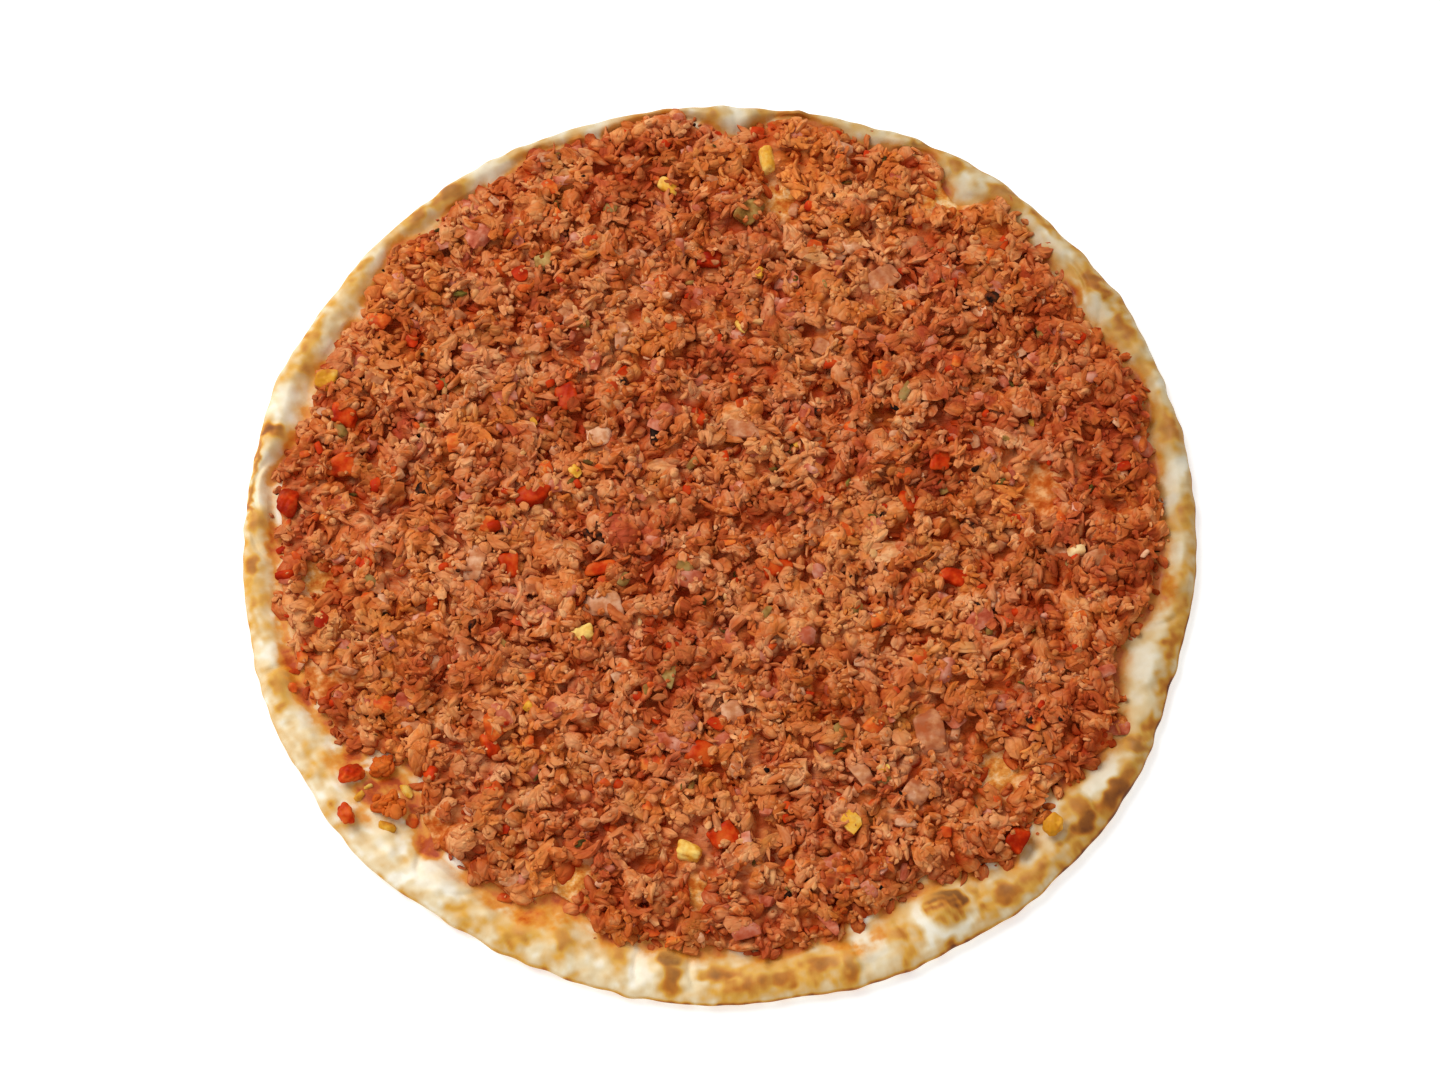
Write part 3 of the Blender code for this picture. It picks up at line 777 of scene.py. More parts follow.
def calculate(tree, operation, *terms):
    """A Math node on numbers and sockets."""
    node = add(tree, "ShaderNodeMath", operation=operation)
    for slot, term in enumerate(terms):
        if isinstance(term, (int, float)):
            node.inputs[slot].default_value = term
        else:
            tree.links.new(term, node.inputs[slot])
    return node.outputs[0]


def rescale(tree, source, low, high, to_low=0.0, to_high=1.0):
    """source from low to high, as to_low to to_high, held at both ends."""
    values = {"From Min": low, "From Max": high, "To Min": to_low, "To Max": to_high}
    return add(tree, "ShaderNodeMapRange", values, {"Value": source}).outputs["Result"]


def ramp(tree, source, stops):
    """Colours at places 0 to 1 along source."""
    node = add(tree, "ShaderNodeValToRGB", links={"Fac": source})
    band = node.color_ramp
    while len(band.elements) < len(stops):
        band.elements.new(1.0)
    for element, (place, shade) in zip(band.elements, stops):
        element.position = place
        element.color = (*shade[:3], 1.0)
    return node.outputs["Color"]


def mixed(tree, factor, first, second, blend="MIX"):
    """Two colours mixed: each one a socket or a colour, and factor a socket or a number."""
    node = add(tree, "ShaderNodeMix", data_type="RGBA", blend_type=blend)
    for socket, value in (("Factor_Float", factor), ("A_Color", first), ("B_Color", second)):
        target = next(each for each in node.inputs if each.identifier == socket)
        if isinstance(value, bpy.types.NodeSocket):
            tree.links.new(value, target)
        elif isinstance(value, (int, float)):
            target.default_value = value
        else:
            target.default_value = (*tuple(value)[:3], 1.0)
    return next(each for each in node.outputs if each.identifier == "Result_Color")


def bump(tree, shader, height, distance, strength=1.0):
    """Fine relief on the shading, distance metres deep."""
    made = add(tree, "ShaderNodeBump", {"Distance": distance, "Strength": strength}, {"Height": height})
    tree.links.new(made.outputs["Normal"], shader.inputs["Normal"])


def baked_dough(settings):
    """Baked flatbread dough: dry and floury, cream where it rose least heat, with soft-edged brown
    blisters. The far right side is greyed by painted shade."""
    material, tree, shader = new_material("baked_dough")
    grain = noise(tree, 1.6 * MM, 4.0, 0.6)
    broad = noise(tree, 7.0 * MM, 3.0, 0.5)
    bake = calculate(tree, "MULTIPLY_ADD", grain, 0.1, attribute(tree, "bake"))
    bake = calculate(tree, "MULTIPLY_ADD", broad, 0.3, bake)
    bake = calculate(tree, "SUBTRACT", bake, 0.2)
    speckle = rescale(tree, noise(tree, 11.0 * MM, 4.0, 0.6), 0.42, 0.68, 0.0, 0.75)
    bake = calculate(tree, "MULTIPLY_ADD", speckle, attribute(tree, "under"), bake)
    crust = ramp(
        tree,
        bake,
        (
            (0.0, settings.cream),
            (0.2, settings.blush),
            (0.42, settings.tan),
            (0.6, settings.amber),
            (0.8, settings.brown),
            (1.0, settings.dark),
        ),
    )
    soak = calculate(tree, "MULTIPLY_ADD", noise(tree, 3.0 * MM, 4.0, 0.6), 1.3, 0.35)
    soak = calculate(tree, "MULTIPLY", soak, attribute(tree, "soak"))
    wet = ramp(
        tree,
        soak,
        (
            (0.0, settings.damp),
            (0.5, settings.soaked),
            (0.8, settings.sauce),
            (1.0, settings.deep_sauce),
        ),
    )
    crust = mixed(tree, rescale(tree, soak, 0.0, 0.45, 0.0, 0.95), crust, wet)
    # Painted shade: the far right side of the rim is multiplied towards a grey tint
    crust = mixed(tree, attribute(tree, "painted_far_shade"), crust, settings.far, "MULTIPLY")
    tree.links.new(crust, shader.inputs["Base Color"])
    shader.inputs["Specular IOR Level"].default_value = 0.25
    tree.links.new(rescale(tree, attribute(tree, "soak"), 0.0, 1.0, 0.62, 0.35), shader.inputs["Roughness"])
    bump(tree, shader, noise(tree, 0.9 * MM, 5.0, 0.6), 0.15 * MM, 0.4)
    return material


def baked_mince(settings, name="baked_mince", tint=None, tinted=0.0, thin=False):
    """Baked ground meat: grainy and matt with a faint sheen of oil, dark red-brown in the depths and on the
    crumbs' undersides, partly juice and partly painted shade. Where it is thin it is orange sauce, or yellow
    dough soaked with oil."""
    material, tree, shader = new_material(name)
    place = drawn_out(tree, "grain", 0.5)
    fibres = noise(tree, 1.5 * MM, 3.0, 0.55, place)
    stir = add(tree, "ShaderNodeTexNoise", {"Scale": 700.0}, {"Vector": place}).outputs["Color"]
    warped = mixed(tree, 0.0006, place, stir, "ADD")
    edge = cells(tree, 2.4 * MM, warped, "DISTANCE_TO_EDGE", "Distance")
    each = cells(tree, 2.4 * MM, warped, "F1", "Color")
    swell = rescale(tree, edge, 0.0, 0.3, 0.0, 1.0)
    glow = attribute(tree, "glow")
    tone = calculate(tree, "MULTIPLY_ADD", fibres, 1.1, attribute(tree, "tone"))
    tone = calculate(tree, "MULTIPLY_ADD", noise(tree, 7.0 * MM, 3.0, 0.5), 2.8, tone)
    tone = calculate(tree, "MULTIPLY_ADD", noise(tree, 26.0 * MM, 2.0, 0.5), 1.8, tone)
    tone = calculate(tree, "MULTIPLY_ADD", each, 0.4, tone)
    tone = calculate(tree, "MULTIPLY_ADD", glow, 0.45, tone)
    tone = calculate(tree, "SUBTRACT", tone, 2.96)
    shade = ramp(tree, tone, ((0.0, settings.shade), (0.45, settings.meat), (1.0, settings.pale)))
    hue = attribute(tree, "hue")
    shade = mixed(tree, rescale(tree, hue, 0.3, 0.0, 0.0, 0.5), shade, settings.red)
    shade = mixed(tree, rescale(tree, hue, 0.75, 1.0, 0.0, 0.35), shade, settings.buff)
    for size, detail, roughness, start, full, strength, patch in MINCE_PATCHES:
        share = rescale(tree, noise(tree, size * MM, detail, roughness), start, full, 0.0, strength)
        shade = mixed(tree, share, shade, linear(patch))
    shade = mixed(tree, rescale(tree, glow, 0.1, 0.9, 0.0, 0.65), shade, settings.glow)
    shade = mixed(tree, rescale(tree, glow, -0.3, -1.6, 0.0, 0.5), shade, settings.scorched)
    if tint is not None:
        shade = mixed(tree, tinted, shade, tint)
    shade = mixed(tree, attribute(tree, "oily"), shade, settings.grease, "MULTIPLY")
    # Painted shade and juice: the deeper a place lies in the mince, the more of the dark juice colour
    deep = rescale(tree, attribute(tree, "depth"), 0.2, 0.9, 0.0, 0.62 if thin else 0.88)
    shade = mixed(tree, deep, shade, settings.juice_and_painted_shade)
    shade = mixed(tree, rescale(tree, edge, 0.0, 0.14, 0.2, 0.0), shade, settings.juice_and_painted_shade)
    # Painted shade on the crumbs' undersides
    low = rescale(tree, attribute(tree, "low"), 0.0, 0.8, 0.0, 0.65)
    shade = mixed(tree, low, shade, settings.foot)
    if thin:
        patch = noise(tree, 3.5 * MM, 4.0, 0.6)
        sauce = ((0.36, settings.sauce_dark), (0.5, settings.oil), (0.64, settings.sauce_pale))
        sauce = ramp(tree, patch, sauce)
        dough = ((0.36, settings.dough_dark), (0.5, settings.dough), (0.64, settings.dough_pale))
        dough = ramp(tree, patch, dough)
        sauce = mixed(tree, attribute(tree, "yellow"), sauce, dough)
        shade = mixed(tree, attribute(tree, "thin"), shade, sauce)
    tree.links.new(shade, shader.inputs["Base Color"])
    shader.inputs["Specular IOR Level"].default_value = 0.08
    tree.links.new(rescale(tree, fibres, 0.3, 0.7, 0.45, 0.7), shader.inputs["Roughness"])
    height = calculate(tree, "MULTIPLY_ADD", fibres, 0.8, swell)
    if thin:
        flatter = rescale(tree, attribute(tree, "thin"), 0.0, 1.0, 1.0, 0.6)
        height = calculate(tree, "MULTIPLY", height, flatter)
    bump(tree, shader, height, settings.grain)
    return material


def wet_vegetable(name, shade, dark, pale, roughness, stripes=0.0):
    """Cooked cut vegetable: soft, wet and glossy, lighter where the flesh shows, and stained in places."""
    material, tree, shader = new_material(name)
    mottle = noise(tree, 4.2 * MM, 3.0, 0.55)
    mottle = calculate(tree, "ADD", mottle, attribute(tree, "ripe"))
    skin = ramp(tree, mottle, ((0.34, dark), (0.5, shade), (0.68, pale)))
    if stripes:
        place = calculate(tree, "MULTIPLY", attribute(tree, "along"), stripes)
        line = calculate(tree, "SINE", place)
        line = rescale(tree, line, 0.0, 1.0, 0.0, 0.13)
        skin = mixed(tree, line, skin, linear(ONION_LINE))
    # tone darkens towards dark: random from piece to piece, and on cut pieces also painted shade on the
    # sides
    skin = mixed(tree, rescale(tree, attribute(tree, "tone"), 0.0, 1.0, 0.0, 0.5), skin, dark)
    stain = rescale(tree, noise(tree, 3.2 * MM, 3.0, 0.6), 0.5, 0.7, 0.0, 0.5)
    skin = mixed(tree, stain, skin, linear(SAUCE_STAIN))
    tree.links.new(skin, shader.inputs["Base Color"])
    shader.inputs["Roughness"].default_value = roughness
    shader.inputs["Specular IOR Level"].default_value = 0.05
    bump(tree, shader, noise(tree, 2.2 * MM, 2.0, 0.5), 0.3 * MM, 0.6)
    return material


def studio_floor(shade):
    """Matt white sweep lit from below, so that shadows on it are faint."""
    material, _, shader = new_material("studio_floor")
    shader.inputs["Base Color"].default_value = (*shade, 1.0)
    shader.inputs["Emission Color"].default_value = (1.0, 1.0, 1.0, 1.0)
    shader.inputs["Emission Strength"].default_value = 0.45
    shader.inputs["Roughness"].default_value = 0.9
    return material


# -------------------------------------------------------------------------------------------------- bread


def make_bread(settings):
    """The flatbread as rings of points: out along the underside, up round the edge by a quarter ellipse,
    over the rim by rim_height, and in along the bed."""
    around = 1200
    angle = np.linspace(0.0, FULL_TURN, around, endpoint=False)
    circle = np.stack([np.cos(angle), np.sin(angle)], axis=-1)
    outer = bread_radius(angle) + 0.22 * MM * ripples(circle, 11, (0.05, 0.3), 30)
    foot = mince_radius(angle) + 2.0 * GAP
    radii, heights, shares = [], [], []

    def ring(radius, height, share):
        radii.append(radius)
        heights.append(np.broadcast_to(height, angle.shape))
        shares.append(np.full(angle.shape, share))

    for share in (0.35, 0.62, 0.8, 0.9, 0.96, 1.0):
        ring((outer - UNDERCUT) * share, 0.0, 2.0)
    for turn in np.radians(np.linspace(11.0, 84.0, 8)):
        ring(outer - UNDERCUT * (1.0 - math.sin(turn)), EDGE_HEIGHT * (1.0 - math.cos(turn)), 1.6)
    for share in np.concatenate([[1.0, 0.995, 0.985, 0.97], np.linspace(0.95, 0.0, 38)]):
        level = rim_height(angle, np.full(angle.shape, share), settings.wrinkle)
        ring(foot + share * (outer - foot), level, share)
    for inset in (1.2, 2.6, 4.5, 7.0, 11.0):
        ring(foot - inset * MM, BED_HEIGHT, -0.2)
    for share in (0.7, 0.35):
        ring((foot - 11.0 * MM) * share, BED_HEIGHT, -1.0)

    radius, z, share = np.array(radii), np.array(heights), np.array(shares)
    turn = np.broadcast_to(angle, radius.shape)
    x, y = radius * np.cos(turn), radius * np.sin(turn)
    bake, soak = browning(turn, radius, x, y, share)
    # Painted shade, strongest on the far right side of the rim at 38 degrees
    painted_far_shade = smooth_step(0.5 + 0.6 * np.cos(turn - math.radians(38.0)))
    points = with_poles(x, y, z, (0.0, 0.0, 0.0), (0.0, 0.0, BED_HEIGHT))
    return new_piece(
        "bread",
        points,
        ring_faces(len(radii), around),
        baked_dough(settings),
        (
            ("bake", pole_values(bake, 0.28, 0.2)),
            ("soak", pole_values(soak, 0.0, 0.6)),
            ("painted_far_shade", pole_values(painted_far_shade, 0.5, 0.5)),
            ("under", pole_values((share > 1.8) * 1.0, 1.0, 0.0)),
        ),
    )


def browning(angle, radius, x, y, share):
    """How brown the dough is, and how soaked with oil, both 0 to 1. Listed patches come first, then the
    tops of small bubbles, a mottle that is stronger towards the edge, and arcs on the largest blister. The
    underside is speckled."""
    flat = np.stack([x, y], axis=-1)
    mottle = ripples(flat, 17, (7.0 * MM, 22.0 * MM), 40)
    cloud = ripples(flat, 18, (3.5 * MM, 9.0 * MM), 40)
    fleck = ripples(flat, 19, (1.8 * MM, 4.0 * MM), 40)
    shift = 0.55 * MM / np.maximum(radius, 20.0 * MM)
    loose_angle = angle + shift * ripples(flat, 20, (3.0 * MM, 9.0 * MM), 30)
    loose_radius = radius + 0.55 * MM * ripples(flat, 21, (3.0 * MM, 9.0 * MM), 30)
    bake = 0.3 + waves_round(angle, ((1, 0.075, 330.0), (2, -0.02, 80.0)))
    bake = bake + 0.12 * mottle + 0.09 * cloud + 0.04 * fleck
    bake = np.maximum(bake, 0.0)
    golden = np.minimum(patches(loose_angle, loose_radius, GOLDEN), 1.0)
    bake = bake + (0.62 + 0.07 * cloud + 0.03 * fleck - bake) * 0.85 * golden
    bake = bake * (1.0 - 0.9 * np.minimum(patches(loose_angle, loose_radius, PALE_PUFFS), 1.0))
    bake = bake + (0.98 - bake) * 0.95 * np.minimum(patches(loose_angle, loose_radius, BROWNINGS, 1.15), 1.0)
    right = smooth_step(0.5 + 0.8 * np.cos(angle + math.radians(25.0)))
    bake = bake + (0.12 + 0.3 * right) * smooth_step((share - 0.94) / 0.06) * (share <= 1.6)
    at, out, reach = BUBBLE
    from_x = x - out * MM * math.cos(math.radians(at))
    from_y = y - out * MM * math.sin(math.radians(at))
    away = np.hypot(from_x, 1.1 * from_y) / (reach * MM) + 0.05 * cloud
    up = (0.45 * from_x + 0.9 * from_y) / (reach * MM)
    side = 0.5 + 0.5 * np.tanh(1.6 * up)
    low_x, low_y = from_x + 0.3 * reach * MM, from_y + 0.9 * reach * MM
    arcs = np.cos(FULL_TURN * 2.6 * np.hypot(low_x, low_y) / (reach * MM) + 0.8 * cloud)
    disc = 0.58 + 0.46 * side + 0.1 * arcs * (1.1 - 0.6 * side) + 0.04 * fleck
    bake = bake + (disc - bake) * smooth_step((1.0 - away) / 0.22)
    bake = bake * (1.0 - (1.0 - side) * np.exp(-(((away - 1.12) / 0.2) ** 2)))
    inset = (radius - mince_radius(angle)) / MM
    soak = np.exp(-np.clip(inset, 0.0, None) / 2.8) * np.clip(0.75 + 0.35 * mottle, 0.4, 1.0)
    soak = np.maximum(soak, patches(angle, radius, SOAKED) * (0.85 + 0.2 * mottle + 0.1 * fleck))
    soak = np.where(share < 0.0, np.clip(0.55 + 0.25 * mottle, 0.0, 1.0), soak)
    spots = np.clip(0.3 + 0.22 * ripples(flat, 23, (4.0 * MM, 26.0 * MM), 40), 0.0, 1.0)
    bake = np.where(share > 1.5, spots + 0.1, bake)
    bake = np.where(share > 1.8, 0.28, bake)
    soak = np.where(share > 1.5, 0.0, soak)
    return np.clip(bake, 0.0, 1.1), np.clip(soak, 0.0, 1.0)


class OBJECT_OT_lahmacun_bread(bpy.types.Operator):
    """Make the browned flatbread in place of its solid"""

    bl_idname = "object.lahmacun_bread"
    bl_label = "Make bread"

    def execute(self, context):
        bread = make_bread(context.scene.lahmacun_bread)
        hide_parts("flatbread")
        return {"FINISHED"}


# -------------------------------------------------------------------------------------------------- mince


class Heap:
    """Height, tone and hue of what lies so far, on a square grid. Lumps are moulded into the core's surface
    first, and crumbs are then laid on it one after another."""

    CELL = 0.5 * MM
    REACH = 150.0 * MM

    def __init__(self):
        count = int(2 * self.REACH / self.CELL) + 1
        line = (np.arange(count) - count // 2) * self.CELL
        self.x, self.y = np.meshgrid(line, line, indexing="ij")
        self.middle = count // 2
        self.top = core_top(self.x, self.y)
        self.tone = np.full(self.top.shape, 0.3)
        self.hue = np.full(self.top.shape, 0.5)

    def window(self, x, y, half_width):
        """The cells within the half width of a place along either axis."""
        reach = int(half_width / self.CELL) + 1
        i = self.middle + int(round(x / self.CELL))
        j = self.middle + int(round(y / self.CELL))
        return slice(i - reach, i + reach + 1), slice(j - reach, j + reach + 1)

    def oval(self, window, x, y, long, wide, turn):
        """Squared distance from a place: 1 on an ellipse of the given half length, half width and
        direction."""
        from_x, from_y = self.x[window] - x, self.y[window] - y
        along = (from_x * math.cos(turn) + from_y * math.sin(turn)) / long
        across = (from_y * math.cos(turn) - from_x * math.sin(turn)) / wide
        return along**2 + across**2

    def mould(self, seed=47, lumps=5200):
        """Cover the core with overlapping half ellipsoids that lean and stand at different heights, then
        soften the valleys between them and roughen it all with short waves. They are low where the mince is
        sparse. Narrow pits are pressed in between them, where the mince looks darker."""
        draw = np.random.default_rng(seed)
        x, y = strew(lumps, seed + 1, -1.0 * MM, -4.0 * MM)
        level = core_top(x, y)
        low = 1.0 - 0.75 * sparse(x, y)
        for at_x, at_y, floor, scale in zip(x, y, level, low):
            long = 2.7 * MM * math.exp(draw.normal(0.0, 0.3))
            wide = long * draw.uniform(0.5, 0.9)
            turn = draw.uniform(0.0, FULL_TURN)
            lean = draw.normal(0.0, 0.22, 2)
            rise = scale * wide * draw.uniform(0.5, 0.95)
            lift = scale * draw.normal(0.1 * MM, 0.45 * MM)
            window = self.window(at_x, at_y, long)
            away = self.oval(window, at_x, at_y, long, wide, turn)
            dome = rise * np.sqrt(np.clip(1.0 - away, 0.0, 1.0))
            height = floor + lift + dome
            height = height + lean[0] * (self.x[window] - at_x) + lean[1] * (self.y[window] - at_y)
            over = (away < 1.0) & (height > self.top[window])
            self.top[window] = np.where(over, height, self.top[window])
            self.tone[window] = np.where(over, draw.normal(0.5, 0.2), self.tone[window])
            self.hue[window] = np.where(over, draw.random(), self.hue[window])
        x, y = strew(170, seed + 3, -5.0 * MM, 0.0)
        for at_x, at_y in zip(x, y):
            long, deep = draw.uniform(2.0, 4.5) * MM, draw.uniform(1.0, 2.6) * MM
            turn = draw.uniform(0.0, FULL_TURN)
            window = self.window(at_x, at_y, 2.0 * long)
            self.top[window] -= deep * np.exp(-self.oval(window, at_x, at_y, long, 0.45 * long, turn))
        for values in (self.top, self.tone, self.hue):
            for axis in (0, 1):
                values[:] = (np.roll(values, 1, axis) + 2.0 * values + np.roll(values, -1, axis)) / 4.0
        flat = np.stack([self.x, self.y], axis=-1)
        self.top += 0.16 * MM * ripples(flat, seed + 2, (1.7 * MM, 5.0 * MM), 40)
        self.top = np.maximum(self.top, BED_HEIGHT + GAP + 0.15 * MM)

    def sample(self, values, x, y):
        """A grid's value at any place, straight between its cells."""
        across, down = x / self.CELL + self.middle, y / self.CELL + self.middle
        i, j = np.floor(across).astype(int), np.floor(down).astype(int)
        u, v = across - i, down - j
        near = values[i, j] * (1.0 - u) + values[i + 1, j] * u
        far = values[i, j + 1] * (1.0 - u) + values[i + 1, j + 1] * u
        return near * (1.0 - v) + far * v

    def uncover_bread(self):
        """Past the core the heap stands on the bread."""
        inside = np.hypot(self.x, self.y) < mince_radius(np.arctan2(self.y, self.x)) - CORE_INSET
        self.top = np.where(inside, self.top, bread_height(self.x, self.y))

    def stand(self, x, y, half_length, half_width, turn, top):
        """Raise the heap to the top of a vegetable that lies in it."""
        window = self.window(x, y, half_length)
        over = self.oval(window, x, y, half_length, half_width, turn) < 1.0
        self.top[window] = np.where(over, np.maximum(self.top[window], top), self.top[window])

    def lay(self, x, y, half_width, half_height, sink, highest):
        """Press an ellipsoid into the heap, so that the middling height under it meets it a share of its
        half height above its middle, and its top is not above the highest, and return the height of its
        middle."""
        half_width = max(half_width, 1.1 * self.CELL)
        window = self.window(x, y, half_width)
        away = ((self.x[window] - x) ** 2 + (self.y[window] - y) ** 2) / half_width**2
        bulge = half_height * np.sqrt(np.clip(1.0 - away, 0.0, 1.0))
        middle = float(np.quantile(self.top[window][away < 1.0], 0.6)) - sink * half_height
        middle = min(middle, highest - half_height)
        raised = np.maximum(self.top[window], middle + 0.85 * bulge)
        self.top[window] = np.where(away < 0.85, raised, self.top[window])
        return middle


def disc_grid(side):
    """A square grid bent into a disc: each square ring of the grid becomes a circle, and places on it keep
    their order. Returns the distance from the middle, 0 to 1, and the angle."""
    line = np.linspace(-1.0, 1.0, side + 1)
    across, down = np.meshgrid(line, line, indexing="ij")
    steep = np.abs(down) > np.abs(across)
    major, minor = np.where(steep, down, across), np.where(steep, across, down)
    turn = math.pi / 4.0 * minor / np.where(major == 0.0, 1.0, major)
    angle = np.where(steep, math.pi / 2.0 - turn, turn) + np.where(major < 0.0, math.pi, 0.0)
    return np.abs(major), angle


def make_core(settings, heap):
    """Packed mince under the loose crumbs: the moulded top of the heap on a bent grid, with an upright edge
    and a flat underside."""
    side = 300
    share, angle = disc_grid(side)
    circle = np.stack([np.cos(angle), np.sin(angle)], axis=-1)
    edge = mince_radius(angle) - CORE_INSET + 0.5 * MM * ripples(circle, 41, (0.04, 0.2), 30)
    x, y = share * edge * circle[..., 0], share * edge * circle[..., 1]
    z = heap.sample(heap.top, x, y)
    inset = (mince_radius(angle) - np.hypot(x, y)) / MM
    thin = np.clip(1.3 * sparse(x, y), 0.0, 1.0)
    thin = np.maximum(thin, 0.7 * np.exp(-np.clip(inset - 1.5, 0.0, None) / 2.0))
    rows = [(a * MM, b * MM, 1.1 * r * MM, yellow) for a, b, r, _, yellow in THIN_SPOTS]
    yellow = np.clip(bells(x, y, rows), 0.0, 1.0)
    # depth carries painted shade: low places in the core are mixed towards the juice and shade colour
    depth = np.clip((layer_top(x, y) - 0.5 * MM - z) / (2.6 * MM), 0.0, 1.0)

    index = np.arange((side + 1) ** 2).reshape(side + 1, side + 1)
    corners = [index[:-1, :-1], index[1:, :-1], index[1:, 1:], index[:-1, 1:]]
    quads = np.stack(corners, axis=-1).reshape(-1, 4)
    border = np.concatenate([index[:-1, 0], index[-1, :-1], index[:0:-1, -1], index[0, :0:-1]])
    foot = index.size + np.arange(len(border))
    after, foot_after = np.roll(border, -1), np.roll(foot, -1)
    wall = np.stack([border, foot, foot_after, after], axis=-1)
    under = np.stack([np.full_like(foot, index.size + len(border)), foot_after, foot], axis=-1)

    floor = BED_HEIGHT + 0.15 * MM
    top = np.stack([x, y, z], axis=-1).reshape(-1, 3)
    below = top[border] * (1.0, 1.0, 0.0) + (0.0, 0.0, floor)
    points = np.concatenate([top, below, [(0.0, 0.0, floor)]])
    fields = {
        "thin": thin,
        "yellow": yellow,
        "depth": depth,
        "glow": glow(x, y),
        "oily": oily(x, y),
        "tone": heap.sample(heap.tone, x, y),
        "hue": heap.sample(heap.hue, x, y),
    }
    attributes = [
        (name, np.concatenate([values.ravel(), values.ravel()[border], [0.5]]))
        for name, values in fields.items()
    ]
    attributes.append(("grain", points))
    material = baked_mince(settings, "packed_mince", thin=True)
    return new_piece("mince_core", points, [quads, wall, under], material, attributes)


SHOWN = {  # pieces the crumbs keep further off, by this in mm
    "red_pepper_01": 3.0,
    "yellow_pepper_01": 3.0,
    "onion_06": 1.5,
    "yellow_pepper_03": 3.5,
}


def footprints(clear=False):
    """Middle, half length, half width, direction and top of each vegetable on the mince, from its solid."""
    rows = []
    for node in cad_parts:
        if node in ("flatbread", "mince_layer"):
            continue
        middle, axes, halves = principal_frame(node)
        more = SHOWN.get(node, 0.0) * MM if clear else 0.0
        long, wide = halves[0] + more, halves[1] + more
        turn = math.atan2(axes[1, 0], axes[0, 0])
        rows.append((middle[0], middle[1], long, wide, turn, middle[2] + 0.7 * halves[2]))
    return rows


def uncovered(x, y, margin):
    """True where no vegetable is within the margin."""
    clear = np.ones(np.shape(x), bool)
    for at_x, at_y, half_length, half_width, turn, _ in footprints(True):
        c, s = math.cos(turn), math.sin(turn)
        long, wide = half_length + margin, half_width + margin
        if min(long, wide) <= 0.0:
            continue
        along = ((x - at_x) * c + (y - at_y) * s) / long
        across = ((y - at_y) * c - (x - at_x) * s) / wide
        clear &= along**2 + across**2 > 1.0
    return clear


def strew(count, seed, past_edge=0.0, margin=0.0, size=2.0 * MM):
    """About count places for crumbs: a triangular grid, shaken, kept inside the mince's ragged edge and off
    the vegetables, thinned in the sparse places, in random order."""
    draw = np.random.default_rng(seed)
    spacing = 129.0 * MM * math.sqrt(math.pi / (math.sqrt(0.75) * count))
    steps = int(145.0 * MM / spacing) + 2
    row, column = np.meshgrid(np.arange(-steps * 2, steps * 2), np.arange(-steps * 2, steps * 2))
    x = (column + 0.5 * (row % 2)).ravel() * spacing
    y = row.ravel() * spacing * math.sqrt(0.75)
    x = x + draw.uniform(-0.5, 0.5, x.shape) * spacing
    y = y + draw.uniform(-0.5, 0.5, y.shape) * spacing
    flat = np.stack([x, y], axis=-1)
    ragged = 1.0 * MM * ripples(flat, seed + 1, (4.0 * MM, 18.0 * MM), 24)
    turn = np.arctan2(y, x)
    reach = np.minimum(mince_radius(turn) + past_edge + ragged, bread_radius(turn) - 1.5 * MM - size)
    x = x + 0.8 * MM * ripples(flat, 71, (9.0 * MM, 18.0 * MM), 24)
    y = y + 0.8 * MM * ripples(flat, 72, (9.0 * MM, 18.0 * MM), 24)
    out = np.hypot(x, y)
    kept = (out < reach) & (draw.random(x.shape) > 1.5 * sparse(x, y) ** 2) & uncovered(x, y, margin)
    x, y = x[kept], y[kept]
    order = draw.permutation(len(x))[:count]
    return x[order], y[order]


def ball(subdivisions):
    """Unit directions and triangles of a subdivided icosahedron."""
    work = bmesh.new()
    bmesh.ops.create_icosphere(work, subdivisions=subdivisions, radius=1.0)
    directions = np.array([vertex.co[:] for vertex in work.verts])
    faces = np.array([[vertex.index for vertex in face.verts] for face in work.faces])
    work.free()
    return directions / np.linalg.norm(directions, axis=1, keepdims=True), faces


def random_turns(draw, count, tilt):
    """Rotation matrices: a tilt of about the given angle about a random level axis, after a random turn
    about the vertical."""
    yaw = draw.uniform(0.0, FULL_TURN, count)
    lean = draw.normal(0.0, tilt, count)
    about = draw.uniform(0.0, FULL_TURN, count)
    level = np.stack([np.cos(about), np.sin(about), np.zeros(count)], axis=1)
    turn = np.zeros((count, 3, 3))
    turn[:, 0, 0] = turn[:, 1, 1] = np.cos(yaw)
    turn[:, 0, 1], turn[:, 1, 0] = -np.sin(yaw), np.sin(yaw)
    turn[:, 2, 2] = 1.0
    cross = np.zeros((count, 3, 3))
    cross[:, 0, 2], cross[:, 2, 0] = level[:, 1], -level[:, 1]
    cross[:, 1, 2], cross[:, 2, 1] = -level[:, 0], level[:, 0]
    s, c = np.sin(lean)[:, None, None], np.cos(lean)[:, None, None]
    leaning = np.eye(3) + s * cross + (1.0 - c) * cross @ cross
    return leaning @ turn


def unit_rows(draw, shape):
    """Random directions, evenly spread."""
    rows = draw.normal(size=(*shape, 3))
    return rows / np.linalg.norm(rows, axis=-1, keepdims=True)


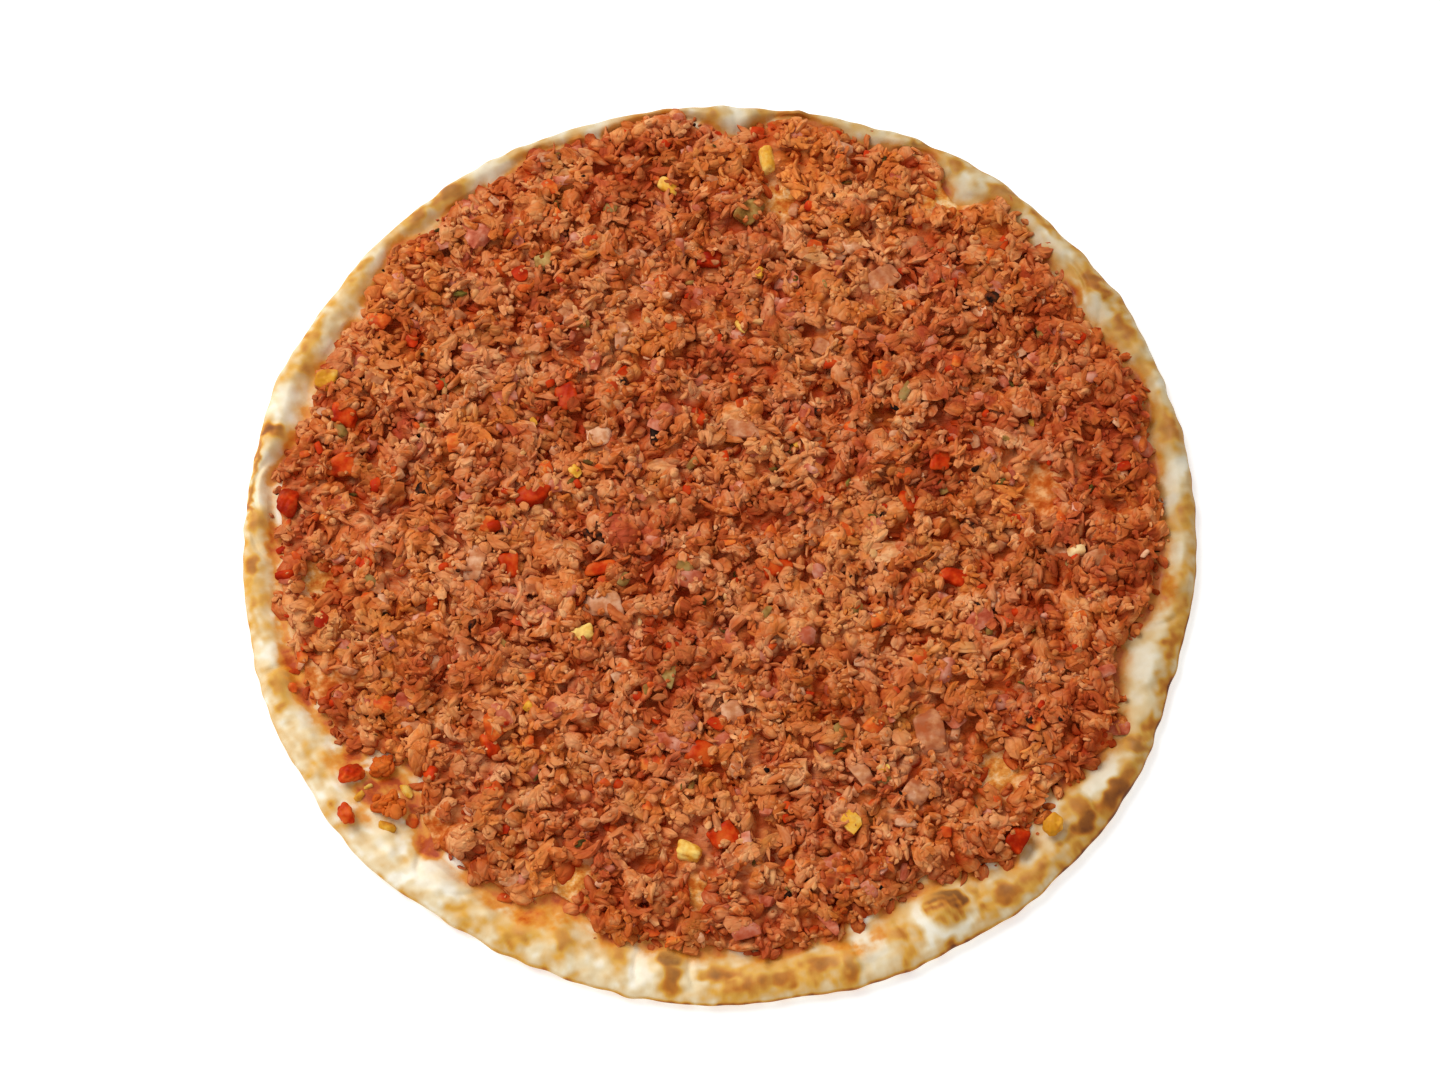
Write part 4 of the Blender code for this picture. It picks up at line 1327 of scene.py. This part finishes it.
def rounded_cut(draw, count, directions, planes, sharpness=7.0):
    """Radius of a cut piece with soft edges in each direction: the planes of a slightly skewed box and a
    few random cuts, joined by (sum of (cosine / offset) ** sharpness) ** (-1 / sharpness)."""
    box = np.concatenate([np.eye(3), -np.eye(3)])[None] + draw.normal(0.0, 0.13, (count, 6, 3))
    normals = np.concatenate([box, unit_rows(draw, (count, planes))], axis=1)
    normals /= np.linalg.norm(normals, axis=2, keepdims=True)
    sides, cuts = draw.uniform(0.82, 1.0, (count, 6)), draw.uniform(0.85, 1.25, (count, planes))
    offsets = np.concatenate([sides, cuts], axis=1)
    facing = np.maximum(np.einsum("vc,npc->nvp", directions, normals), 0.0) / offsets[:, None, :]
    return (facing**sharpness).sum(axis=2) ** (-1.0 / sharpness)


def curds(draw, count, directions, bumps, width, planes=10):
    """Radius of a crumb of ground meat in each direction: what random planes leave of a ball, with soft
    bumps and hollows drawn out along its length, each a bell of the distance over the ball."""
    normals = unit_rows(draw, (count, planes))
    offsets = draw.uniform(0.5, 0.95, (count, planes))
    facing = np.einsum("vc,npc->nvp", directions, normals)
    radius = np.minimum((offsets[:, None, :] / np.maximum(facing, 0.1)).min(axis=2), 1.15)
    weights = np.array((0.2, 1.0, 1.0))
    for _ in range(bumps):
        at = unit_rows(draw, (count,))
        lengths = ((directions**2) @ weights)[None, :] + ((at**2) @ weights)[:, None]
        away = lengths - 2.0 * (at * weights) @ directions.T
        radius = radius * (1.0 + draw.normal(0.0, 0.13, (count, 1)) * np.exp(-away / width**2))
    return np.clip(radius, 0.35, 1.3)


Kind = collections.namedtuple(
    "Kind",
    "name material count size past_edge margin ball sink spread long flat tilt bend bumps width tones"
    " highest places",
    defaults=(2, 0.0, 0.3, (0.5, 0.95), (0.55, 0.9), 0.28, 0.0, 9, 0.55, (0.5, 0.18), 2.1 * MM, ()),
)
FLAKE = {"spread": 0.25, "flat": (0.45, 0.65), "long": (0.45, 0.85), "width": 0.5}
SLIP = {"flat": (0.25, 0.4), "bumps": 0}
SHRED = {"tilt": 0.3, "bend": 0.4}
KINDS = (
    Kind("crumbs_a", "meat", 2200, 2.2, -0.3, 0.5, sink=0.1, long=(0.45, 0.95)),
    Kind("flakes_a", "meat", 900, 3.5, -2.0, 3.0, sink=0.2, **FLAKE),
    Kind("onion_bits", "onion", 170, 2.6, -3.0, 1.0, long=(0.4, 0.8), tones=(0.3, 0.3), **SLIP),
    Kind("rosy_onion_bits", "rose", 220, 2.9, -1.5, 1.0, long=(0.4, 0.8), tones=(0.3, 0.4), **SLIP),
    Kind("flakes_b", "ruddy", 900, 3.1, -1.0, 2.0, sink=0.15, **FLAKE),
    Kind("tomato_bits", "tomato", 130, 2.2, -1.0, 1.0, flat=(0.3, 0.5), bumps=0, tones=(0.3, 0.3)),
    Kind("green_bits", "green", 44, 2.3, -2.0, 1.0, long=(0.35, 0.7), tones=(0.5, 0.3), **SLIP),
    Kind("crumbs_b", "ruddy", 2200, 2.0, 0.3, -1.0, sink=0.05, long=(0.45, 0.95)),
    Kind("red_bits", "red", 80, 1.7, -1.0, 1.0, sink=0.1, flat=(0.35, 0.6), bumps=0, tones=(0.35, 0.25)),
    Kind("yellow_bits", "yellow", 16, 1.5, -2.0, 1.0, flat=(0.4, 0.7), bumps=0, tones=(0.3, 0.2)),
    Kind("seeds", "seed", 26, 1.4, -2.0, 1.0, flat=(0.5, 0.7), long=(0.6, 0.8), bumps=0, tones=(0.2, 0.2)),
    Kind("shreds", "ruddy", 1600, 2.8, -1.0, -1.2, long=(0.25, 0.42), flat=(0.22, 0.36), **SHRED),
    Kind("pale_shreds", "meat", 1000, 2.5, -1.0, -1.0, long=(0.28, 0.45), flat=(0.24, 0.38), **SHRED),
    Kind("grains", "buff", 1900, 1.25, 0.2, -1.4, long=(0.5, 1.0), tones=(0.55, 0.25)),
    Kind("herb_flecks", "herb", 45, 1.3, -2.0, 0.5, flat=(0.3, 0.5), long=(0.3, 0.6), tones=(0.4, 0.3)),
    Kind("burnt_bits", "char", 40, 0.85, 0.0, 0.5, long=(0.5, 1.0), tones=(0.3, 0.2)),
    Kind("charred_leaves", "char", 8, 2.7, 0, 0, long=(0.5, 0.8), flat=(0.25, 0.4), places=CHARRED_LEAVES),
    Kind("edge_bits", "red", 7, 1.9, 0, 0, long=(0.5, 0.8), flat=(0.4, 0.6), bumps=0, places=EDGE_BITS),
    Kind("stained_bits", "tomato", 8, 2.2, 0, 0, long=(0.5, 0.9), flat=(0.3, 0.5), bumps=4, places=STAINED),
    Kind("bay_bits", "yellow", 5, 1.7, 0, 0, long=(0.4, 0.6), flat=(0.3, 0.5), bumps=0, places=BAY_BITS),
    Kind("specks", "meat", 5200, 0.8, 0.4, -2.2, 1, long=(0.5, 1.0), bumps=3, width=0.9, tones=(0.5, 0.2)),
)
BITS = (  # key in KINDS, name of the material, middle colour's setting, dark, pale, roughness
    ("red", "red_pepper_bits", "red", 0x9A1C02, 0xDC4A14, 0.45),
    ("yellow", "yellow_pepper_bits", "yellow", 0xC07F1C, 0xF0D070, 0.45),
    ("onion", "onion_bits", "onion", 0xA4562E, 0xECB890, 0.45),
    ("rose", "stained_onion_bits", "stained", 0xA03C22, 0xE0A084, 0.5),
    ("tomato", "tomato_bits", "tomato", 0xB03410, 0xF09440, 0.35),
    ("green", "green_pepper_bits", "green", 0x5C4018, 0xB69458, 0.4),
    ("seed", "pepper_seeds", "seed", 0xC07C40, 0xF0D098, 0.4),
    ("herb", "herb_flecks", "herb", 0x38280C, 0x8A7A34, 0.6),
    ("char", "burnt_bits", "char", 0x0E0705, 0x4A2A18, 0.6),
)


def crumbs(kind, material, heap, seed, coarseness):
    """Many crumbs of a kind as one mesh. Each is a lumpy ball, drawn out on three axes, bent, turned at
    random and laid on the heap. tone and hue are the same all over a crumb, depth runs from 0 at the top of
    the mince to 1 deep in it, and grain is the place in the crumb before it was turned."""
    draw = np.random.default_rng(seed)
    if kind.places:
        x, y = np.array(kind.places, float).T * MM
    else:
        room = (kind.past_edge * MM, kind.margin * MM, kind.size * MM)
        x, y = strew(kind.count, seed + 500, *room)
    count = len(x)
    directions, faces = ball(kind.ball)
    half = coarseness * kind.size * MM * np.exp(draw.normal(0.0, kind.spread, count))
    wide, thick = draw.uniform(*kind.long, count), draw.uniform(*kind.flat, count)
    axes = np.stack([np.ones(count), wide, thick], axis=1)
    if kind.bumps:
        radius = curds(draw, count, directions, kind.bumps, kind.width)
    else:
        radius = rounded_cut(draw, count, directions, 3)
    local = directions[None, :, :] * (radius * half[:, None])[:, :, None] * axes[:, None, :]
    bend = kind.bend * draw.normal(size=(count, 1)) / half[:, None]
    local[:, :, 1] += bend * local[:, :, 0] ** 2
    grain = (local + draw.uniform(-0.5, 0.5, (count, 1, 3))).reshape(-1, 3)
    local = np.einsum("nij,nvj->nvi", random_turns(draw, count, kind.tilt), local)
    level = half * np.sqrt(axes[:, 1])
    upright = 0.5 * (local[:, :, 2].max(axis=1) - local[:, :, 2].min(axis=1))
    local[:, :, 2] -= 0.5 * (local[:, :, 2].max(axis=1) + local[:, :, 2].min(axis=1))[:, None]
    inset = mince_radius(np.arctan2(y, x)) - np.hypot(x, y)
    above = kind.highest * (0.45 + 0.55 * smooth_step(inset / (12.0 * MM)))
    highest = np.maximum(layer_top(x, y), bread_height(x, y)) + above
    z = np.array([heap.lay(*row, kind.sink, top) for *row, top in zip(x, y, level, upright, highest)])
    # low carries painted shade: the lower part of each crumb is coloured darker
    low = np.clip(0.3 - local[:, :, 2] / upright[:, None], 0.0, 1.0).ravel()
    centres = np.stack([x, y, z], axis=1)
    points = (local + centres[:, None, :]).reshape(-1, 3)
    points[:, 2] = np.maximum(points[:, 2], bread_height(points[:, 0], points[:, 1]) + 0.05 * MM)
    triangles = (faces[None, :, :] + (np.arange(count) * len(directions))[:, None, None]).reshape(-1, 3)
    tone = np.repeat(draw.normal(kind.tones[0], 0.85 * kind.tones[1], count), len(directions))
    # depth carries painted shade: crumbs lying deep in the mince are coloured darker
    depth = (layer_top(points[:, 0], points[:, 1]) + 0.6 * MM - points[:, 2]) / (3.4 * MM)
    region = ripples(np.stack([x, y], axis=-1), seed // 300 + 61, (7.0 * MM, 24.0 * MM), 30)
    hue = np.repeat(np.clip(0.52 + 0.24 * region + draw.normal(0.0, 0.13, count), 0.0, 1.0), len(directions))
    attributes = (
        ("tone", tone),
        ("low", low),
        ("depth", np.clip(depth, 0.0, 1.0)),
        ("hue", hue),
        ("glow", np.repeat(glow(x, y), len(directions))),
        ("oily", np.repeat(oily(x, y), len(directions))),
        ("grain", grain),
    )
    return new_piece(kind.name, points, [triangles], material, attributes, 44.0)


def make_mince(mince, vegetables):
    """The core, and crumbs of falling size laid on the heap, with bits of vegetable, herb and char."""
    heap = Heap()
    heap.mould()
    core = make_core(mince, heap)
    heap.uncover_bread()
    for row in footprints():
        heap.stand(*row)
    materials = {
        "meat": baked_mince(mince),
        "ruddy": baked_mince(mince, "baked_mince_ruddy", mince.ruddy_tint, 0.3),
        "buff": baked_mince(mince, "baked_mince_buff", mince.buff_tint, 0.25),
    }
    for key, name, middle, dark, pale, roughness in BITS:
        middle = getattr(vegetables, middle)
        materials[key] = wet_vegetable(name, middle, linear(dark), linear(pale), roughness)
    pieces = [
        crumbs(kind, materials[kind.material], heap, 200 + 3 * row, mince.coarseness)
        for row, kind in enumerate(KINDS)
    ]
    return core, pieces


class OBJECT_OT_lahmacun_mince(bpy.types.Operator):
    """Make the mince: a packed core and the loose crumbs and bits on it"""

    bl_idname = "object.lahmacun_mince"
    bl_label = "Make mince"

    def execute(self, context):
        core, pieces = make_mince(context.scene.lahmacun_mince, context.scene.lahmacun_vegetables)
        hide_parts("mince_layer")
        return {"FINISHED"}


# --------------------------------------------------------------------------------------------- vegetables


def principal_frame(node):
    """Middle, axes as columns from longest to shortest, and half extents of a CAD node."""
    points = node_points(node)
    low, high = points.min(axis=0), points.max(axis=0)
    middle = 0.5 * (low + high)
    _, _, rows = np.linalg.svd(points - points.mean(axis=0), full_matrices=False)
    axes = rows.T
    upright = int(np.argmax(np.abs(axes[2])))
    order = [index for index in range(3) if index != upright] + [upright]
    axes = axes[:, order]
    axes[:, 2] *= np.sign(axes[2, 2])
    axes[:, 1] = np.cross(axes[:, 2], axes[:, 0])
    extents = (points - middle) @ axes
    middle = middle + axes @ (0.5 * (extents.max(axis=0) + extents.min(axis=0)))
    halves = 0.5 * (extents.max(axis=0) - extents.min(axis=0))
    return middle, axes, halves


RIPE = {  # how much paler a piece is than others of its kind, or darker where below 0
    "red_pepper_01": -0.1,
    "red_pepper_02": -0.06,
    "red_pepper_04": 0.06,
    "red_pepper_05": 0.02,
    "red_pepper_06": -0.24,
    "red_pepper_07": 0.02,
    "red_pepper_09": -0.06,
    "red_pepper_10": 0.08,
    "red_pepper_11": 0.08,
    "red_pepper_12": 0.06,
    "red_pepper_13": -0.05,
    "red_pepper_14": 0.04,
    "red_pepper_16": 0.1,
    "red_pepper_17": 0.04,
    "red_pepper_18": 0.1,
    "yellow_pepper_01": 0.08,
    "yellow_pepper_02": -0.12,
    "yellow_pepper_03": 0.1,
    "yellow_pepper_04": 0.06,
    "yellow_pepper_05": 0.14,
    "yellow_pepper_06": -0.18,
    "onion_01": 0.06,
    "onion_03": -0.05,
    "onion_04": -0.12,
    "onion_06": -0.14,
    "onion_08": -0.04,
    "onion_09": 0.08,
    "onion_10": 0.12,
    "onion_11": -0.06,
    "green_pepper_01": -0.06,
    "green_pepper_02": 0.06,
    "green_pepper_03": 0.06,
}
WORN = ("red_pepper_01", "red_pepper_17", "red_pepper_18", "yellow_pepper_06")  # pieces without clear edges


def cut_piece(name, node, material, seed, planes, bow, tones=(0.2, 0.25)):
    """A cut piece in its solid's place: a box with soft edges and a few random cuts, bent down towards its
    ends and roughened by short waves. Its sides carry painted shade, darker than its top."""
    draw = np.random.default_rng(seed)
    middle, axes, halves = principal_frame(node)
    directions, faces = ball(5)
    worn = node in WORN
    local = directions * rounded_cut(draw, 1, directions, planes, 2.6 if worn else 6.0)[0][:, None]
    rough = ripples(directions + 7.0 * draw.random(3), seed, (0.5, 1.6), 18)
    local *= (1.0 + (0.07 if worn else 0.03) * rough)[:, None]
    local /= np.abs(local).max(axis=0)
    along = local[:, 0].copy()
    grain = local * halves
    local[:, 2] -= bow * (local[:, 0] ** 2 - 0.3)
    points = middle + (local * halves) @ axes.T
    # Random tone, plus painted shade on the sides and underside, which face away from the light
    tone = np.clip(draw.normal(*tones) + 0.9 * np.clip(0.35 - directions[:, 2], 0.0, 1.0), 0.0, 1.0)
    ripe = np.full(len(points), RIPE.get(node, 0.0))
    attributes = (("tone", tone), ("along", along), ("ripe", ripe), ("grain", grain))
    return new_piece(name, points, [faces], material, attributes)


VEGETABLES = (  # node names begin with, random cuts, bow, shade setting, dark, pale, roughness, stripes
    ("red_pepper", 3, 0.12, "red", 0x941A00, 0xDC5E1E, 0.34, 0.0),
    ("yellow_pepper", 4, 0.08, "yellow", 0xC8841C, 0xF8D070, 0.36, 0.0),
    ("green_pepper", 3, 0.2, "green", 0x6A4418, 0xCAAA66, 0.4, 0.0),
    ("onion", 4, 0.5, "onion", 0xA85A34, 0xEAB48C, 0.45, 9.0),
)


def make_vegetables(settings):
    """One piece for each vegetable's solid."""
    for begins, planes, bow, shade, dark, pale, roughness, stripes in VEGETABLES:
        material = wet_vegetable(
            f"cooked_{begins}", getattr(settings, shade), linear(dark), linear(pale), roughness, stripes
        )
        nodes = sorted(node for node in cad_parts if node.startswith(begins))
        for number, node in enumerate(nodes, start=1):
            piece = cut_piece(f"cut_{node}", node, material, 300 + 17 * number + len(begins), planes, bow)
            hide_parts(node)


class OBJECT_OT_lahmacun_vegetables(bpy.types.Operator):
    """Make the cut vegetables in place of their solids"""

    bl_idname = "object.lahmacun_vegetables"
    bl_label = "Make vegetables"

    def execute(self, context):
        make_vegetables(context.scene.lahmacun_vegetables)
        return {"FINISHED"}


# ------------------------------------------------------------------------------------------------- scraps


def make_scrap(node, material, seed):
    """A small heap of crumbs in the place of its solid: craggy balls on a shrinking spiral, in one mesh."""
    draw = np.random.default_rng(seed)
    middle, axes, halves = principal_frame(node)
    directions, faces = ball(3)
    count = 22
    turn = np.arange(count) * 2.4
    out = np.sqrt((np.arange(count) + 0.5) / count) * draw.uniform(0.8, 1.15, count)
    rise = -0.4 + 0.5 * (1.0 - out**2) + draw.normal(0.0, 0.2, count)
    level = np.stack([out * np.cos(turn), out * np.sin(turn), rise], axis=1)
    centres = middle + (level * halves * (0.72, 0.72, 0.8)) @ axes.T
    half = draw.uniform(1.1, 2.6, count) * MM
    radius = curds(draw, count, directions, 8, 0.6)
    local = directions[None] * (radius * half[:, None])[:, :, None] * (1.0, 0.72, 0.5)
    grain = (local + draw.uniform(-0.5, 0.5, (count, 1, 3))).reshape(-1, 3)
    local = np.einsum("nij,nvj->nvi", random_turns(draw, count, 0.5), local)
    points = (local + centres[:, None, :]).reshape(-1, 3)
    triangles = (faces[None] + (np.arange(count) * len(directions))[:, None, None]).reshape(-1, 3)
    tone = np.repeat(draw.normal(0.45, 0.3, count), len(directions))
    # depth carries painted shade: the lower part of the small heap is coloured darker
    depth = np.clip((middle[2] + halves[2] - points[:, 2]) / (2.4 * halves[2]), 0.0, 1.0)
    hue = np.repeat(draw.random(count), len(directions))
    even = np.ones(len(tone))
    attributes = (
        *(("tone", tone), ("depth", depth), ("hue", hue)),
        *(("glow", 0.5 * even), ("oily", even), ("grain", grain)),
    )
    return new_piece(f"crumbs_{node}", points, [triangles], material, attributes)


class OBJECT_OT_lahmacun_scraps(bpy.types.Operator):
    """Make the small heaps of fallen mince in place of their solids"""

    bl_idname = "object.lahmacun_scraps"
    bl_label = "Make scraps"

    def execute(self, context):
        settings = context.scene.lahmacun_mince
        material = baked_mince(settings, "baked_mince_scraps", settings.scrap_tint, 0.65)
        for number, node in enumerate(("mince_scrap_01", "mince_scrap_02")):
            piece = make_scrap(node, material, 500 + number)
            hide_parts(node)
        return {"FINISHED"}


# -------------------------------------------------------------------------------------------------- stage


def look_at(thing, place, target):
    """Stand a camera or light at a place, turned to a target."""
    thing.location = place
    thing.rotation_euler = (Vector(target) - Vector(place)).to_track_quat("-Z", "Y").to_euler()


def area_light(name, place, size, power, shade=(1.0, 1.0, 1.0)):
    """A round soft light turned to the middle."""
    data = bpy.data.lights.new(name, "AREA")
    data.shape = "DISK"
    data.size = size
    data.energy = power
    data.color = shade
    light = bpy.data.objects.new(name, data)
    bpy.context.scene.collection.objects.link(light)
    look_at(light, place, (0.0, 0.0, 0.0))


class OBJECT_OT_lahmacun_stage(bpy.types.Operator):
    """Make the floor, the lights and the camera"""

    bl_idname = "object.lahmacun_stage"
    bl_label = "Make stage"

    def execute(self, context):
        settings = context.scene.lahmacun_stage
        mesh = bpy.data.meshes.new("floor")
        half, down = 3.0, -0.1 * MM
        corners = [(-half, -half, down), (half, -half, down), (half, half, down), (-half, half, down)]
        mesh.from_pydata(corners, [], [(0, 1, 2, 3)])
        mesh.materials.append(studio_floor(settings.floor))
        floor = bpy.data.objects.new("floor", mesh)
        context.scene.collection.objects.link(floor)

        world = bpy.data.worlds.new("studio")
        world.use_nodes = True
        background = world.node_tree.nodes["Background"]
        background.inputs["Color"].default_value = (1.0, 1.0, 1.0, 1.0)
        background.inputs["Strength"].default_value = settings.fill
        context.scene.world = world
        area_light("key", (-1.65, 1.35, 2.25), 2.2, settings.key)

        data = bpy.data.cameras.new("camera")
        data.lens = settings.lens
        data.sensor_width = 36.0
        camera = bpy.data.objects.new("camera", data)
        context.scene.collection.objects.link(camera)
        aim = Vector((-0.3 * MM, -2.5 * MM, 4.0 * MM))
        back = Vector((0.0, -math.cos(settings.elevation), math.sin(settings.elevation)))
        look_at(camera, aim + settings.distance * back, aim)
        context.scene.camera = camera
        context.scene.view_settings.view_transform = "Standard"
        return {"FINISHED"}


class VIEW3D_PT_lahmacun(bpy.types.Panel):
    """Lists the operators that make the lahmacun"""

    bl_label = "Lahmacun"
    bl_idname = "VIEW3D_PT_lahmacun"
    bl_space_type = "VIEW_3D"
    bl_region_type = "UI"
    bl_category = "Lahmacun"

    def draw(self, context):
        for operator in OPERATORS:
            self.layout.operator(operator.bl_idname)
        for name, group in GROUPS:
            self.layout.label(text=name)
            settings = getattr(context.scene, name)
            for key in group.__annotations__:
                self.layout.prop(settings, key)


GROUPS = (
    ("lahmacun_bread", BreadSettings),
    ("lahmacun_mince", MinceSettings),
    ("lahmacun_vegetables", VegetableSettings),
    ("lahmacun_stage", StageSettings),
)
OPERATORS = (
    OBJECT_OT_lahmacun_bread,
    OBJECT_OT_lahmacun_mince,
    OBJECT_OT_lahmacun_vegetables,
    OBJECT_OT_lahmacun_scraps,
    OBJECT_OT_lahmacun_stage,
)


def register():
    """Add the settings, operators and panel."""
    for name, group in GROUPS:
        bpy.utils.register_class(group)
        setattr(bpy.types.Scene, name, bpy.props.PointerProperty(type=group))
    for each in (*OPERATORS, VIEW3D_PT_lahmacun):
        bpy.utils.register_class(each)


def unregister():
    """Take them away again."""
    for each in reversed((*OPERATORS, VIEW3D_PT_lahmacun)):
        bpy.utils.unregister_class(each)
    for name, group in reversed(GROUPS):
        delattr(bpy.types.Scene, name)
        bpy.utils.unregister_class(group)


def main():
    """Make every piece."""
    register()
    bpy.ops.object.lahmacun_bread()
    bpy.ops.object.lahmacun_mince()
    bpy.ops.object.lahmacun_vegetables()
    bpy.ops.object.lahmacun_scraps()
    bpy.ops.object.lahmacun_stage()


if __name__ == "__main__":
    main()
